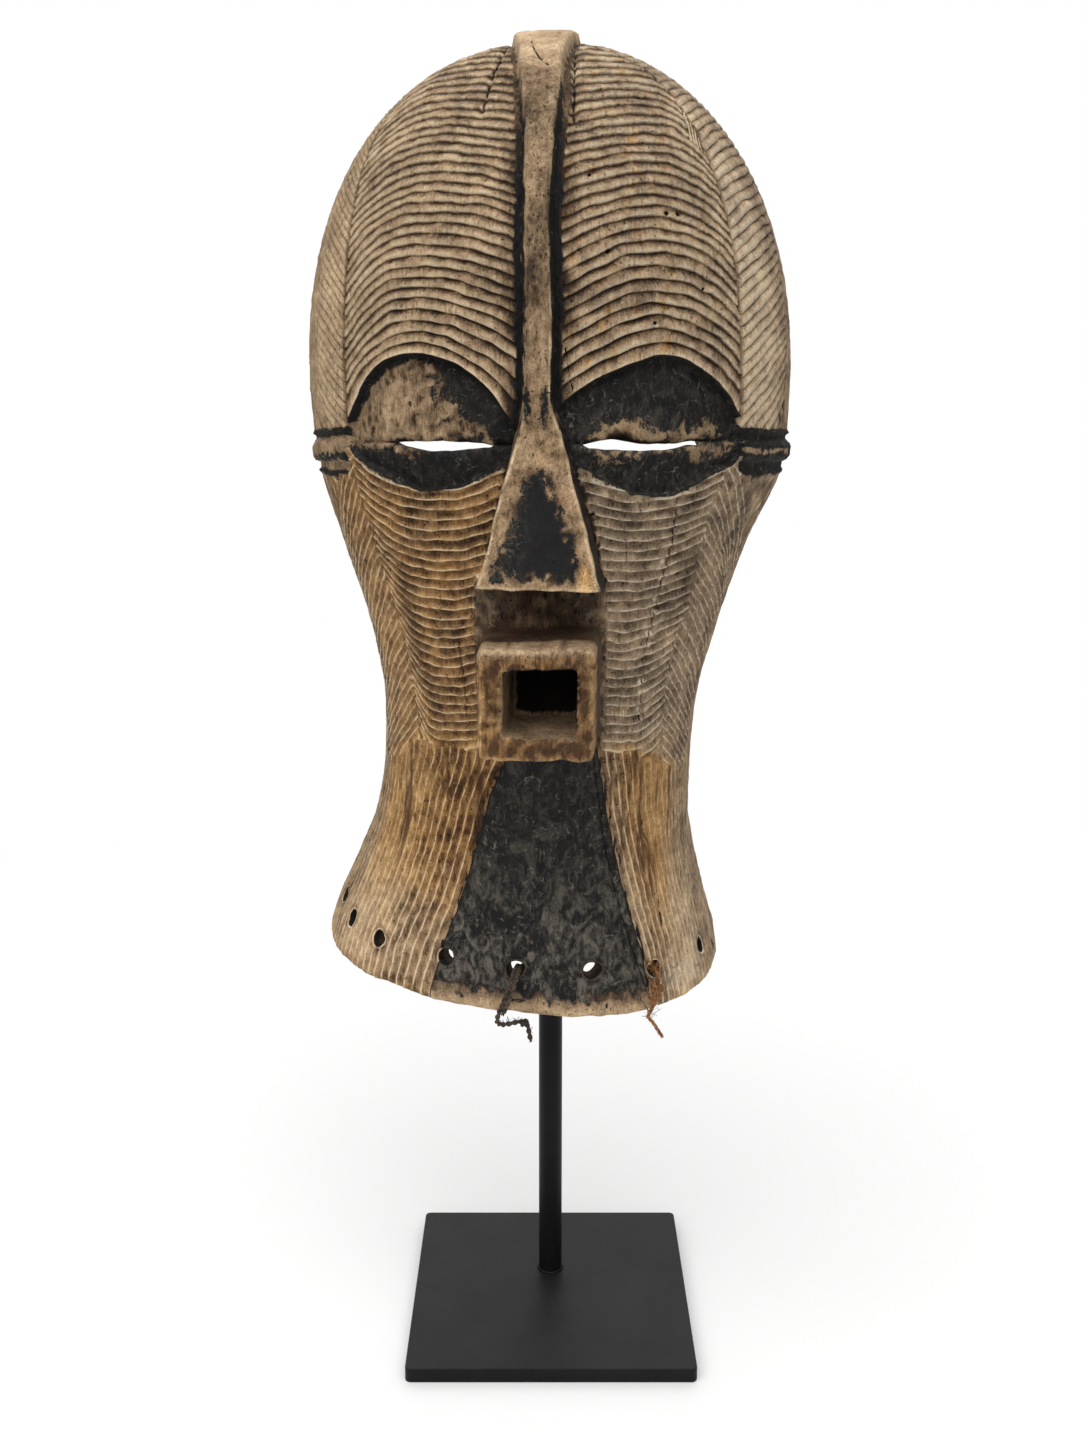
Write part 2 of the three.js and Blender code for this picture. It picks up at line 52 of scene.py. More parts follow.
camera.rotation_euler = (math.radians(90 - CAMERA_DIP), 0, 0)
bpy.context.scene.collection.objects.link(camera)
bpy.context.scene.camera = camera

# Bark cord: what is left of the lacing that held a beard of fibre to the chin. Two strands of dark bark
# fibre twisted together, pulled through a hole near the rim, looped under it and knotted.
MM = 0.001  # every size below is in millimetres, until MM turns it into metres
ROD_BACK = 17.0  # the mask is turned about the rod, which stands this far behind the middle of the foot
MASK_TURN = math.radians(3.5)
CORD_STEP = 0.7  # between the points of a cord's line
BARK_STRAND = (0.78, 0.58)  # a strand's radius, and its distance from the middle of the cord
DOUBLED_STRAND = (0.72, 0.6)
DOUBLED_SHIFT = (2.2, -0.6, 0.3)
BARK_TWIST = 6.5  # length of one full turn of the strands
BARK_ROUTE = [
    (-11.8, -61, 224.4), (-12.1, -67, 225.4), (-12.5, -73.5, 226.2), (-13.2, -77.8, 225.2),
    (-14.4, -79.2, 221.5), (-16.2, -79.9, 216), (-18.4, -80.6, 210.5), (-20.2, -81, 206),
    (-20.6, -80, 202.2), (-18.8, -77.3, 199.8), (-15.2, -74.9, 199.2), (-11.2, -73.3, 199.6),
    (-8, -72.4, 199.2), (-6.4, -72, 197), (-5.6, -72, 193), (-4.7, -72, 188.6),
]
BARK_KNOT_AT = (-8.2, -72.6, 199.0)


def in_room(points):
    """Points of the mask's own frame, in millimetres, as metres of the whole object's frame."""
    x, y, z = np.moveaxis(np.asarray(points, float), -1, 0)
    y = y - ROD_BACK
    cos, sin = math.cos(MASK_TURN), math.sin(MASK_TURN)
    return np.stack([x * cos + y * sin, ROD_BACK - x * sin + y * cos, z], -1) * MM


def evenly(points, step):
    """The same line with its points an even step apart."""
    points = np.asarray(points, float)
    along = np.concatenate([[0], np.cumsum(np.linalg.norm(np.diff(points, axis=0), axis=1))])
    stops = np.linspace(0, along[-1], max(2, round(along[-1] / step) + 1))
    return np.stack([np.interp(stops, along, column) for column in points.T], -1)


def through(knots, values, slopes, at):
    """The smooth curve that passes through values at its knots, with the given slopes there."""
    i = np.clip(np.searchsorted(knots, at, side="right") - 1, 0, len(knots) - 2)
    span = np.diff(knots)[i]
    t = (at - knots[i]) / span
    keep = (1 + 2 * t) * (1 - t) ** 2
    bend = span * (t * (1 - t) ** 2 * slopes[i] - t * t * (1 - t) * slopes[i + 1])
    return keep * values[i] + (1 - keep) * values[i + 1] + bend


def smooth_line(points, step):
    """A smooth line through a few points, as points an even step apart."""
    points = np.asarray(points, float)
    time = np.concatenate([[0], np.cumsum(np.linalg.norm(np.diff(points, axis=0), axis=1) ** 0.5)])
    slopes = np.gradient(points, time, axis=0)
    fine = np.linspace(0, time[-1], 16 * len(points))
    columns = [through(time, *column, fine) for column in zip(points.T, slopes.T)]
    return evenly(np.stack(columns, -1), step)


def strand(path, radius, offset=0.0, turn=0.0, twist=1.0, sides=7):
    """A closed tube that winds round a path at an offset, thinner at its free end: corners and faces."""
    along = np.gradient(path, axis=0)
    along /= np.linalg.norm(along, axis=1)[:, None]
    aside = (0.31, 0.2, 1.0)  # any direction that no cord sets out in
    across = [np.cross(along[0], aside)]
    for direction in along[1:]:
        across.append(across[-1] - direction * (across[-1] @ direction))
        across[-1] = across[-1] / np.linalg.norm(across[-1])
    across[0] = across[0] / np.linalg.norm(across[0])
    across = np.array(across)
    upright = np.cross(along, across)
    length = np.linalg.norm(np.diff(path, axis=0), axis=1)[0] * np.arange(len(path))
    angle = turn + 2 * np.pi * length / twist
    middle = path + offset * (np.cos(angle)[:, None] * across + np.sin(angle)[:, None] * upright)
    thickness = radius * np.clip((length[-1] - length) / (3 * radius) + 0.35, 0.35, 1)
    corners = []
    for i in range(len(path)):
        for k in range(sides):
            a = 2 * np.pi * k / sides
            corners.append(middle[i] + thickness[i] * (np.cos(a) * across[i] + np.sin(a) * upright[i]))
    faces = [tuple(range(sides))[::-1]]
    for i in range(len(path) - 1):
        for k in range(sides):
            a, b = i * sides + k, i * sides + (k + 1) % sides
            faces.append((a, b, b + sides, a + sides))
    faces.append(tuple(range((len(path) - 1) * sides, len(path) * sides)))
    return np.array(corners), faces


def add_piece(name, corners, faces, material):
    """A smooth mesh object at the origin with one material."""
    mesh = bpy.data.meshes.new(name)
    mesh.from_pydata([tuple(c) for c in corners], [], faces)
    mesh.materials.append(material)
    mesh.polygons.foreach_set("use_smooth", [True] * len(mesh.polygons))
    piece = bpy.data.objects.new(name, mesh)
    bpy.context.scene.collection.objects.link(piece)
    return piece


def add_strands(name, strands, material):
    """Several strands as one mesh object."""
    corners, faces, start = [], [], 0
    for strand_corners, strand_faces in strands:
        corners.append(strand_corners)
        faces += [tuple(start + i for i in face) for face in strand_faces]
        start += len(strand_corners)
    return add_piece(name, in_room(np.concatenate(corners)), faces, material)


def tone(red, green, blue):
    """A colour from its 0 to 255 screen values."""
    def linear(value):
        share = value / 255
        return share / 12.92 if share <= 0.04045 else ((share + 0.055) / 1.055) ** 2.4
    return (linear(red), linear(green), linear(blue), 1.0)


class Value:
    """One socket of a node tree. Arithmetic on it adds Math nodes."""

    def __init__(self, finish, socket):
        self.finish = finish
        self.socket = socket

    def maths(self, operation, first, second):
        return self.finish.node("ShaderNodeMath", {"operation": operation}, {0: first, 1: second})

    def __add__(self, other):
        return self.maths("ADD", self, other)

    def __sub__(self, other):
        return self.maths("SUBTRACT", self, other)

    def __rsub__(self, other):
        return self.maths("SUBTRACT", other, self)

    def __mul__(self, other):
        return self.maths("MULTIPLY", self, other)

    __radd__ = __add__
    __rmul__ = __mul__


class Finish:
    """A node tree under construction: a material, the world, or a tree that grows something."""

    def __init__(self, tree):
        self.tree = tree

    @staticmethod
    def find(sockets, key):
        """A socket by its number, its identifier or its name."""
        if isinstance(key, int):
            return sockets[key]
        found = [socket for socket in sockets if socket.identifier == key]
        found += [socket for socket in sockets if socket.name == key and socket.enabled]
        return found[0]

    def node(self, kind, settings=None, inputs=None, output=0):
        """Any node: its type, its settings, its inputs as values or links, and the output that is wanted."""
        made = self.tree.nodes.new(kind)
        for name, setting in (settings or {}).items():
            if name == "stops":
                ramp = made.color_ramp.elements
                while len(ramp) < len(setting):
                    ramp.new(1.0)
                for element, (position, colour) in zip(ramp, setting):
                    element.position = position
                    element.color = colour
            else:
                setattr(made, name, setting)
        for key, value in (inputs or {}).items():
            socket = self.find(made.inputs, key)
            if isinstance(value, Value):
                self.tree.links.new(value.socket, socket)
            else:
                socket.default_value = value
        if made.outputs:
            return Value(self, self.find(made.outputs, output))

    def place(self, stretch=(1, 1, 1)):
        """The point on the object, with the pattern stretched along its axes."""
        where = self.node("ShaderNodeTexCoord", output="Object")
        return self.node("ShaderNodeMapping", {"vector_type": "POINT"}, {"Vector": where, "Scale": stretch})

    def noise(self, size, detail, rough=0.55, stretch=(1, 1, 1), warp=0.0):
        """Cloudy pattern whose patches are about size millimetres, 0 to 1."""
        return self.node(
            "ShaderNodeTexNoise", {"noise_dimensions": "3D"},
            {"Vector": self.place(stretch), "Scale": 1 / (size * MM), "Detail": detail, "Roughness": rough,
             "Distortion": warp}, "Fac")

    def mark(self, name):
        return self.node("ShaderNodeAttribute", {"attribute_name": name}, output="Fac")

    def step(self, value, low, high):
        """0 below low, 1 above high, smooth between; the other way round where low is the larger."""
        return self.node(
            "ShaderNodeMapRange", {"interpolation_type": "SMOOTHSTEP"},
            {"Value": value, "From Min": low, "From Max": high})

    def blend(self, share, first, second):
        return self.node(
            "ShaderNodeMix", {"data_type": "RGBA"},
            {"Factor_Float": share, "A_Color": first, "B_Color": second}, "Result_Color")

    def ramp(self, value, *tones):
        """A colour that runs evenly through the tones as a value goes from 0 to 1."""
        stops = [(i / (len(tones) - 1), tone(*colour)) for i, colour in enumerate(tones)]
        return self.node("ShaderNodeValToRGB", {"stops": stops}, {"Fac": value})

    def bump(self, height, depth, strength=1.0):
        return self.node(
            "ShaderNodeBump", None, {"Height": height, "Distance": depth * MM, "Strength": strength})


def new_material(name, draw):
    """A material whose surface is what draw(finish) returns: a dict of Principled sockets."""
    material = bpy.data.materials.new(name)
    material.use_nodes = True
    material.node_tree.nodes.clear()
    finish = Finish(material.node_tree)
    shader = finish.node("ShaderNodeBsdfPrincipled", None, draw(finish))
    finish.node("ShaderNodeOutputMaterial", None, {"Surface": shader})
    return material


def draw_fibre(dark, light):
    """Dry plant fibre: fine streaks of two tones and a rough, hairy surface."""
    def draw(finish):
        streak = finish.noise(0.7, 3.0, 0.6)
        patch = finish.noise(4.0, 2.0)
        shade = finish.step(streak * 0.6 + patch * 0.4, 0.35, 0.68)
        return {
            "Base Color": finish.blend(shade, dark, light),
            "Roughness": 0.85,
            "Normal": finish.bump(streak, 0.25),
        }
    return draw


def grow_wisps(name, line, material, count, length, thickness, seed):
    """Loose fibre ends that stand off a line, grown by a node tree and returned as a plain mesh object."""
    tree = bpy.data.node_groups.new(name, "GeometryNodeTree")
    tree.interface.new_socket("Line", in_out="INPUT", socket_type="NodeSocketGeometry")
    sizes = {}
    for label, kind, value in (("Count", "Int", count), ("Length", "Float", length * MM),
                               ("Thickness", "Float", thickness * MM), ("Seed", "Int", seed)):
        socket = tree.interface.new_socket(label, in_out="INPUT", socket_type=f"NodeSocket{kind}")
        sizes[socket.identifier] = value
    tree.interface.new_socket("Wisps", in_out="OUTPUT", socket_type="NodeSocketGeometry")
    grow = Finish(tree)
    start, total, tall, thick, chance = (
        grow.node("NodeGroupInput", output=label)
        for label in ("Line", "Count", "Length", "Thickness", "Seed"))
    curve = grow.node("GeometryNodeMeshToCurve", None, {"Mesh": start})
    points = grow.node("GeometryNodeCurveToPoints", {"mode": "COUNT"}, {"Curve": curve, "Count": total})
    tip = grow.node("ShaderNodeCombineXYZ", None, {"X": tall * 0.35, "Z": tall})
    bow = grow.node("ShaderNodeCombineXYZ", None, {"X": tall * -0.1, "Z": tall * 0.6})
    hair = grow.node("GeometryNodeCurveQuadraticBezier", None,
                     {"Resolution": 5, "Start": (0, 0, 0), "Middle": bow, "End": tip})
    round_section = grow.node("GeometryNodeCurvePrimitiveCircle", {"mode": "RADIUS"},
                              {"Resolution": 4, "Radius": thick})
    along = grow.node("GeometryNodeSplineParameter", output="Factor")
    thin = grow.node("GeometryNodeSetCurveRadius", None, {"Curve": hair, "Radius": 1.0 - along * 0.75})
    solid_hair = grow.node("GeometryNodeCurveToMesh", None,
                           {"Curve": thin, "Profile Curve": round_section, "Fill Caps": True})
    spin = grow.node("FunctionNodeRandomValue", {"data_type": "FLOAT_VECTOR"},
                     {"Min": (-1.2, -1.2, 0.0), "Max": (1.2, 1.2, 6.28), "Seed": chance}, "Value")
    size = grow.node("FunctionNodeRandomValue", {"data_type": "FLOAT"},
                     {"Min_001": 0.35, "Max_001": 1.0, "Seed": chance + 7}, "Value_001")
    turned = grow.node("GeometryNodeInstanceOnPoints", None,
                       {"Points": points, "Instance": solid_hair, "Rotation": spin, "Scale": size})
    real = grow.node("GeometryNodeRealizeInstances", None, {"Geometry": turned})
    finished = grow.node("GeometryNodeSetMaterial", None, {"Geometry": real, "Material": material})
    grow.node("NodeGroupOutput", None, {"Wisps": finished})

    mesh = bpy.data.meshes.new(name + "_line")
    mesh.from_pydata([tuple(p) for p in line], [(i, i + 1) for i in range(len(line) - 1)], [])
    piece = bpy.data.objects.new(name, mesh)
    bpy.context.scene.collection.objects.link(piece)
    modifier = piece.modifiers.new("wisps", "NODES")
    modifier.node_group = tree
    for identifier, value in sizes.items():
        modifier[identifier] = value
    bpy.context.view_layer.update()
    grown = bpy.data.meshes.new_from_object(piece.evaluated_get(bpy.context.evaluated_depsgraph_get()))
    piece.modifiers.remove(modifier)
    piece.data = grown
    return piece


def closed_tube(loop, radius, sides=8):
    """A tube along a closed loop of points, radius one value or one for each point: corners and faces."""
    count = len(loop)
    radius = np.broadcast_to(radius, count)
    along = np.roll(loop, -1, 0) - np.roll(loop, 1, 0)
    along /= np.linalg.norm(along, axis=1)[:, None]
    across = np.cross(along, (0.0, 0.0, 1.0))
    across /= np.linalg.norm(across, axis=1)[:, None]
    upright = np.cross(along, across)
    corners, faces = [], []
    for i in range(count):
        here, ahead = i * sides, (i + 1) % count * sides
        for k, a in enumerate(2 * np.pi * np.arange(sides) / sides):
            corners.append(loop[i] + radius[i] * (math.cos(a) * across[i] + math.sin(a) * upright[i]))
            beside = (k + 1) % sides
            faces.append((here + k, here + beside, ahead + beside, ahead + k))
    return np.array(corners), faces


def knot(name, middle, size, radius, material):
    """A small overhand knot pulled tight, as a closed loop of cord."""
    t = np.linspace(0, 2 * np.pi, 60, endpoint=False)
    x = np.sin(t) + 2 * np.sin(2 * t)
    y = np.cos(t) - 2 * np.cos(2 * t)
    loop = np.stack([x, y, -np.sin(3 * t) * 1.4], -1)
    corners, faces = closed_tube(np.array(middle) + loop * size / 3, radius)
    return add_piece(name, in_room(corners), faces, material)


bark_material = new_material("bark", draw_fibre(tone(18, 14, 11), tone(90, 75, 60)))
bark_line = smooth_line(BARK_ROUTE, CORD_STEP)
doubled = smooth_line(np.array(BARK_ROUTE[:8]) + DOUBLED_SHIFT, CORD_STEP)  # its other end, at the hole
bark_strands = [strand(bark_line, *BARK_STRAND, turn, BARK_TWIST) for turn in (0, math.pi)]
bark_strands += [strand(doubled, *DOUBLED_STRAND, turn, BARK_TWIST) for turn in (0.6, 3.7)]
bark_cord = add_strands("bark_lacing", bark_strands, bark_material)
bark_knot = knot("bark_knot", BARK_KNOT_AT, 1.9, 0.85, bark_material)
bark_path = in_room(bark_line)
bark_wisps = grow_wisps("bark_wisps", bark_path[-34:], bark_material, 26, 4.2, 0.16, 3)
for piece in (bark_cord, bark_knot, bark_wisps):
    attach(piece, "root")
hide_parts("bark_cord")

# Fibre tie: a wisp of orange-brown raffia left in the last hole but two on the right. Three thin strands,
# knotted over the rim, whose loose fibres stand off all round.
FIBRE_STRAND = (0.5, 0.5)
FIBRE_TWIST = 9.0
FIBRE_ROUTE = [
    (51.8, -43, 219.4), (54, -47.5, 220.2), (56.2, -52, 220.6), (57.6, -55.6, 218.2),
    (57.8, -57.6, 213.5), (56.4, -60.2, 208), (54.6, -62.2, 203.4), (53, -61.4, 199.6),
    (53.4, -58.8, 197), (55.6, -57, 193.6), (58, -56.2, 189.5), (60.6, -56, 185.4),
]
FIBRE_KNOT_AT = (57.6, -58.6, 213.0)

fibre_material = new_material("orange_fibre", draw_fibre(tone(70, 40, 21), tone(192, 134, 76)))
fibre_line = smooth_line(FIBRE_ROUTE, CORD_STEP)
fibre_strands = [strand(fibre_line, *FIBRE_STRAND, turn, FIBRE_TWIST) for turn in (0, 2.1, 4.2)]
fibre_tie = add_strands("fibre_lacing", fibre_strands, fibre_material)
fibre_knot = knot("fibre_knot", FIBRE_KNOT_AT, 2.4, 0.85, fibre_material)
fibre_path = in_room(fibre_line)
fibre_wisps = grow_wisps("fibre_wisps", fibre_path[10:60], fibre_material, 120, 8.0, 0.17, 11)
for piece in (fibre_tie, fibre_knot, fibre_wisps):
    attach(piece, "root")
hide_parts("fibre_tie")

# Mask: one hollow shell carved from a single log, about 10 mm thick, open behind and below. The face is cut
# in long grooves that run round brow, cheeks and chin, and its raised parts are rubbed with black.
# A chart of the face, u out to a side and v up from the eyes, carries every line of the carving.
WALL = 10.0
REAR = 70.0
EYE_LEVEL = 510.0
CROWN_HEIGHT = 157.5
CROWN_POWER = {-1: 2.2, 1: 2.1}  # -1 is the left and 1 the right, as seen from the front
SECTION_POWER = 2.2
CHART_SIDE = 185.0  # the chart's u where the side turns straight back
CHART_CROWN = 220.0  # the chart's v where the crown does
RIM_Z = 204.5
RIM_SLOPE = -0.062
LEVELS = np.array([  # height, half widths left and right, front, and where the side turns straight back
    (178, 129, 95, -80, 40), (196, 127, 92.5, -78, 40), (225, 119.5, 84.5, -74, 38),
    (255, 106, 77.5, -70, 35), (285, 94, 73.5, -69, 32), (315, 88.5, 74, -72, 30),
    (345, 87.5, 76.5, -79, 31), (385, 94, 86.5, -84, 34), (425, 107, 100, -87, 37),
    (474, 121, 119.5, -91, 40), (510, 123.5, 120.5, -92, 40)])
LEFT, RIGHT, FRONT, SIDE = 1, 2, 3, 4  # the columns of LEVELS


def by_side(side, left, right):
    """One value on the left of the face and another on the right."""
    return np.where(side < 0, left, right)


def along_line(lines, at, side):
    """Where a line that is given for each side of the face lies, at a place along it."""
    left, right = (np.interp(at, *np.transpose(lines[s])) for s in (-1, 1))
    return by_side(side, left, right)


def level(z, column):
    """One column of LEVELS at heights z, on a smooth curve that never overshoots."""
    heights, values = LEVELS[:, 0], LEVELS[:, column]
    step = np.diff(heights)
    rise = np.diff(values) / step
    slopes = np.zeros(len(heights))
    slopes[0] = rise[0]
    for i in range(1, len(heights) - 1):
        if rise[i - 1] * rise[i] > 0:
            before, after = 2 * step[i] + step[i - 1], step[i] + 2 * step[i - 1]
            slopes[i] = (before + after) / (before / rise[i - 1] + after / rise[i])
    return through(heights, values, slopes, np.clip(z, heights[0], heights[-1]))


def half_width(z, side):
    return by_side(side, level(z, LEFT), level(z, RIGHT))


def place(u, v, inset=0.0):
    """Points of the plain face, before it is carved, at places of the chart."""
    u, v = np.asarray(u, float), np.asarray(v, float)
    z = EYE_LEVEL + np.minimum(v, 0)
    back = level(z, SIDE)
    front = level(z, FRONT) + inset
    across, up = np.abs(u) / CHART_SIDE, np.maximum(v, 0) / CHART_CROWN
    way = np.hypot(across, up)
    out = np.sin(np.minimum(way, 1) * np.pi / 2)
    across, up = across / np.maximum(way, 1e-9), up / np.maximum(way, 1e-9)
    power = by_side(u, CROWN_POWER[-1], CROWN_POWER[1])
    reach = out / np.maximum(across ** power + up ** power, 1e-9) ** (1 / power)
    x = np.sign(u) * (half_width(z, u) - inset) * across * reach
    y = back - (back - front) * np.maximum(1 - out ** SECTION_POWER, 0) ** (1 / SECTION_POWER)
    y = y + np.maximum(way - 1, 0) * CHART_SIDE
    return np.stack([x, y, z + (CROWN_HEIGHT - inset) * up * reach], -1)


def chart(x, z):
    """Places of the chart for points seen from the front."""
    x, z = np.asarray(x, float), np.asarray(z, float)
    power = by_side(x, CROWN_POWER[-1], CROWN_POWER[1])
    across = np.abs(x) / half_width(np.minimum(z, EYE_LEVEL), x)
    up = np.maximum(z - EYE_LEVEL, 0) / CROWN_HEIGHT
    way = np.arcsin(np.minimum((across ** power + up ** power) ** (1 / power), 1)) / (np.pi / 2)
    size = np.maximum(np.hypot(across, up), 1e-9)
    u = np.sign(x) * CHART_SIDE * way * across / size
    return np.stack([u, np.where(z < EYE_LEVEL, z - EYE_LEVEL, CHART_CROWN * way * up / size)], -1)


def on_chart(edge, v, side):
    """The chart's u of an edge that is known by its distance from the middle of the face."""
    z = EYE_LEVEL + v
    return np.abs(chart(by_side(side, -1, 1) * edge(z, side), z)[..., 0])


def ripple(u, v, length, seed, waves=9):
    """Smooth unevenness with bumps of about that length, mostly between -1 and 1."""
    draw = np.random.default_rng(seed)
    angle, phase = draw.uniform(0, 2 * np.pi, (2, waves))
    size = 2 * np.pi / (length * draw.uniform(0.6, 1.7, waves))
    u, v = np.asarray(u)[..., None], np.asarray(v)[..., None]
    return np.sin((u * np.cos(angle) + v * np.sin(angle)) * size + phase).sum(-1) / math.sqrt(waves)


def worked(u, v, inset=0.0):
    """The plain face with the small swings of a carver's hand in it."""
    sway = 0.45 * ripple(u, v, 40, 1) + 0.22 * ripple(u, v, 14, 2)
    dip = 0.5 * ripple(u, v, 34, 3) + 0.24 * ripple(u, v, 12, 4)
    return place(u + sway, v + dip, inset)


# The brow: arcs over each eye, numbered from the arch of the eye upwards, down to a seam at the temple
BROW_LINES = 37
SEAM_FOOT, SEAM_TOP = 490, 662


def brow_seam(z, side):
    t = np.clip((z - SEAM_FOOT) / (SEAM_TOP - SEAM_FOOT), 0, 1)
    return by_side(side, 91.5 * (1 - t ** 3.5) ** (1 / 3.5), 91 * (1 - t ** 2.4) ** (1 / 2.4))


def brow_height(count, reach, side):
    """Height of brow line number count at a distance reach from the middle of the face.

    Each line has its top at its crown, and drops by inner towards the crest and by outer towards the seam.
    The first lines, which are fresh from the arch of the eye, bend more."""
    fresh = np.exp(-np.maximum(count, -1))
    first = np.minimum(count, 1)
    on = np.maximum(count - 1, 0)
    top = by_side(side, 518.6 + 4.95 * count - 0.018 * count ** 2, 517.5 + 5.85 * count - 0.038 * count ** 2)
    crown = by_side(side, 55 - 0.3 * count, 53 - 0.25 * count)
    inner = by_side(side, 15 - 0.46 * count + 21 * np.exp(-count / 2.2), 20 + 2 * fresh - 0.65 * count)
    outer = by_side(side, np.maximum(31 - 7 * first - 0.4 * on, 10),
                    np.maximum(20 + 6 * fresh - 0.35 * count, 8))
    seam = brow_seam(np.minimum(top - outer, 640), side)
    crown = np.minimum(crown, 0.75 * seam)
    inwards = np.maximum((crown - reach) / (crown - by_side(side, 8, 9)), 0)
    outwards = np.maximum((reach - crown) / np.maximum(seam - crown, 1), 0)
    inner_drop = inner * inwards ** by_side(side, 1.9 + 0.7 * fresh, 1.7)
    outer_drop = outer * outwards ** by_side(side, 2.4 + 0.4 * fresh, 2.4)
    return top - inner_drop - outer_drop


def solve(rising, goal, low, high):
    """Where a function that rises reaches goal, by halving."""
    low, high = np.full(len(goal), float(low)), np.full(len(goal), float(high))
    for _ in range(26):
        middle = (low + high) / 2
        short = rising(middle) < goal
        low, high = np.where(short, middle, low), np.where(short, high, middle)
    return (low + high) / 2


# Between the temple and the open edge: lines that start at the brow's seam and climb towards the back
OUTER_START = -41.4
OUTER_PITCH = {-1: 4.7, 1: 5.6}
OUTER_CLIMB = {  # rise of a line for each millimetre outwards, by its v
    -1: ((0, 0.66), (50, 0.95), (120, 1.3)),
    1: ((0, 0.62), (62, 0.76), (88, 0.93), (124, 1.2)),
}
seam_heights = np.linspace(470, 662, 300)
seam_line = {side: chart(side * brow_seam(seam_heights, side), seam_heights) for side in (-1, 1)}
seam_by_v = {side: np.stack([line[:, 1], np.abs(line[:, 0])], -1) for side, line in seam_line.items()}


def brow_seam_u(v, side):
    return along_line(seam_by_v, v, side)


def outer_climb(v, side):
    return along_line(OUTER_CLIMB, v, side)


# The cheeks: lines that sag between the nose and a seam, and fall away again on the flank behind it
CHEEK_TOP = 455.0
CHEEK_PITCH = 4.6
CHEEK_LINES = 29
CHEEK_SEAM = {  # height and distance from the middle
    -1: ((305, 58), (347, 60.7), (375.5, 64.8), (391.5, 68.4), (415, 74.5), (438.6, 81), (454, 86),
         (469, 89.5)),
    1: ((305, 57), (351, 57.9), (372, 60.3), (392.7, 64), (399.8, 68.8), (425.6, 72), (455, 80), (470, 86)),
}
FLANK_START = -36.4
FLANK_PITCH = 5.2


def cheek_seam(z, side):
    return along_line(CHEEK_SEAM, z, side)


def cheek_rise(reach, z, side):
    """How far a cheek line stands above its lowest point."""
    low = by_side(side, 48, 44)
    inwards = np.maximum((low - reach) / by_side(side, 36, 34), 0)
    outwards = np.maximum((reach - low) / (cheek_seam(z, side) - low), 0)
    return 10 * inwards ** 2 + by_side(side, 14.5 * outwards ** 3.2, 7 * outwards ** 2)


def cheek_seam_u(v, side):
    return on_chart(cheek_seam, v, side)


def flank_climb(v, side):
    """Rise of a flank line for each millimetre outwards; it falls, so this is below 0."""
    steady = by_side(side, 0.72, 0.6)
    return -(steady + (0.95 - steady) * np.clip((v + 75) / 30, 0, 1))


# The chin: flutes that fan out from the black panel down to the rim
CHIN_FLUTES = 19
PANEL_TOP = 348
PANEL = {  # height and distance from the middle of the panel's edges
    -1: ((196, 58.5), (213.9, 55.3), (235, 49.2), (260.5, 39.5), (290.2, 30.3), (311.9, 24.9),
         (330.3, 17.1), (348, 13)),
    1: ((196, 56), (206.6, 54.3), (231.6, 49.5), (252.7, 43.2), (277.6, 37.1), (302.8, 31.6), (332, 27.7),
        (348, 25)),
}
CHIN_TOP = ((-130, 290), (-100, 304), (-83, 320), (-75, 323), (-61, 337), (-30, 336), (-29, 348), (29, 348),
            (30, 336.5), (45.6, 334), (47.5, 329), (60, 321), (80, 311), (110, 290))


def panel_edge(z, side):
    return along_line(PANEL, z, side)


def panel_edge_u(v, side):
    return on_chart(panel_edge, v, side)


def chin_pitch(v):
    return np.interp(v, (-296, -173), (5.2, 6.7))


# The eyes: almond hollows with swelling lids, and a slit right through between the lids
EYE_INNER, EYE_OUTER = 8.4, 91.5
LID_FLOOR = {
    -1: ((8.4, 482.5), (9.1, 479.1), (17.1, 470.3), (32.2, 462.6), (51.1, 459.4), (67.3, 463.7),
         (89.6, 475.3), (91.5, 478)),
    1: ((8.4, 482.5), (12.1, 477), (30.1, 464.2), (45.2, 458.2), (62.8, 458.5), (78.8, 465.9), (89.3, 470.8),
        (91.5, 475)),
}
SLIT_LINE = ((-91.5, 479.4), (-64, 480.3), (-20.6, 479.6), (-8, 480.3), (8, 480.4), (20, 480.2), (69, 480.4),
             (91.5, 480))
SLIT_HOLE = {
    -1: ((-66.2, 480), (-55, 481.1), (-43.9, 481), (-32, 479.7), (-20.2, 479.1), (-21.5, 477.5), (-33, 476.9),
         (-44, 476.6), (-50, 476.8), (-57, 477.4), (-62, 478.3)),
    1: ((19.4, 479.8), (24.5, 480.7), (28, 481), (33, 481.1), (38, 480.3), (44, 480.3), (50, 480.3),
        (56, 480.5), (64, 481), (71.4, 480.3), (71, 478.3), (65, 478), (54, 477.3), (44, 477), (37.5, 476.4),
        (28, 477.1), (22, 477.9)),
}
smooth_floor = {side: smooth_line(LID_FLOOR[side], 1.0) for side in (-1, 1)}


def lid_floor(reach, side):
    return along_line(smooth_floor, reach, side)


def arch_height(reach, side):
    return brow_height(np.zeros_like(reach), np.clip(reach, EYE_INNER, EYE_OUTER), side)


# The temple bands: two black lines with a pale zigzag between them, from the eyes back to the open edge
BAND_FALL = 0.11
BAND_START = 90  # distance from the middle at which the bands have the heights of BAND_SHAPE
BAND_SHAPE = (  # height and relief across the two bands
    (464.6, 0), (466, 0.9), (467.2, -0.5), (470.6, -0.8), (472, 1.2), (474, 1.9), (478.5, 1.9), (480.2, 1.3),
    (481.8, -0.6), (483.8, -0.6), (485, 1.0), (486.4, 0))


def band_height(x, z):
    return z + BAND_FALL * (np.abs(x) - BAND_START)


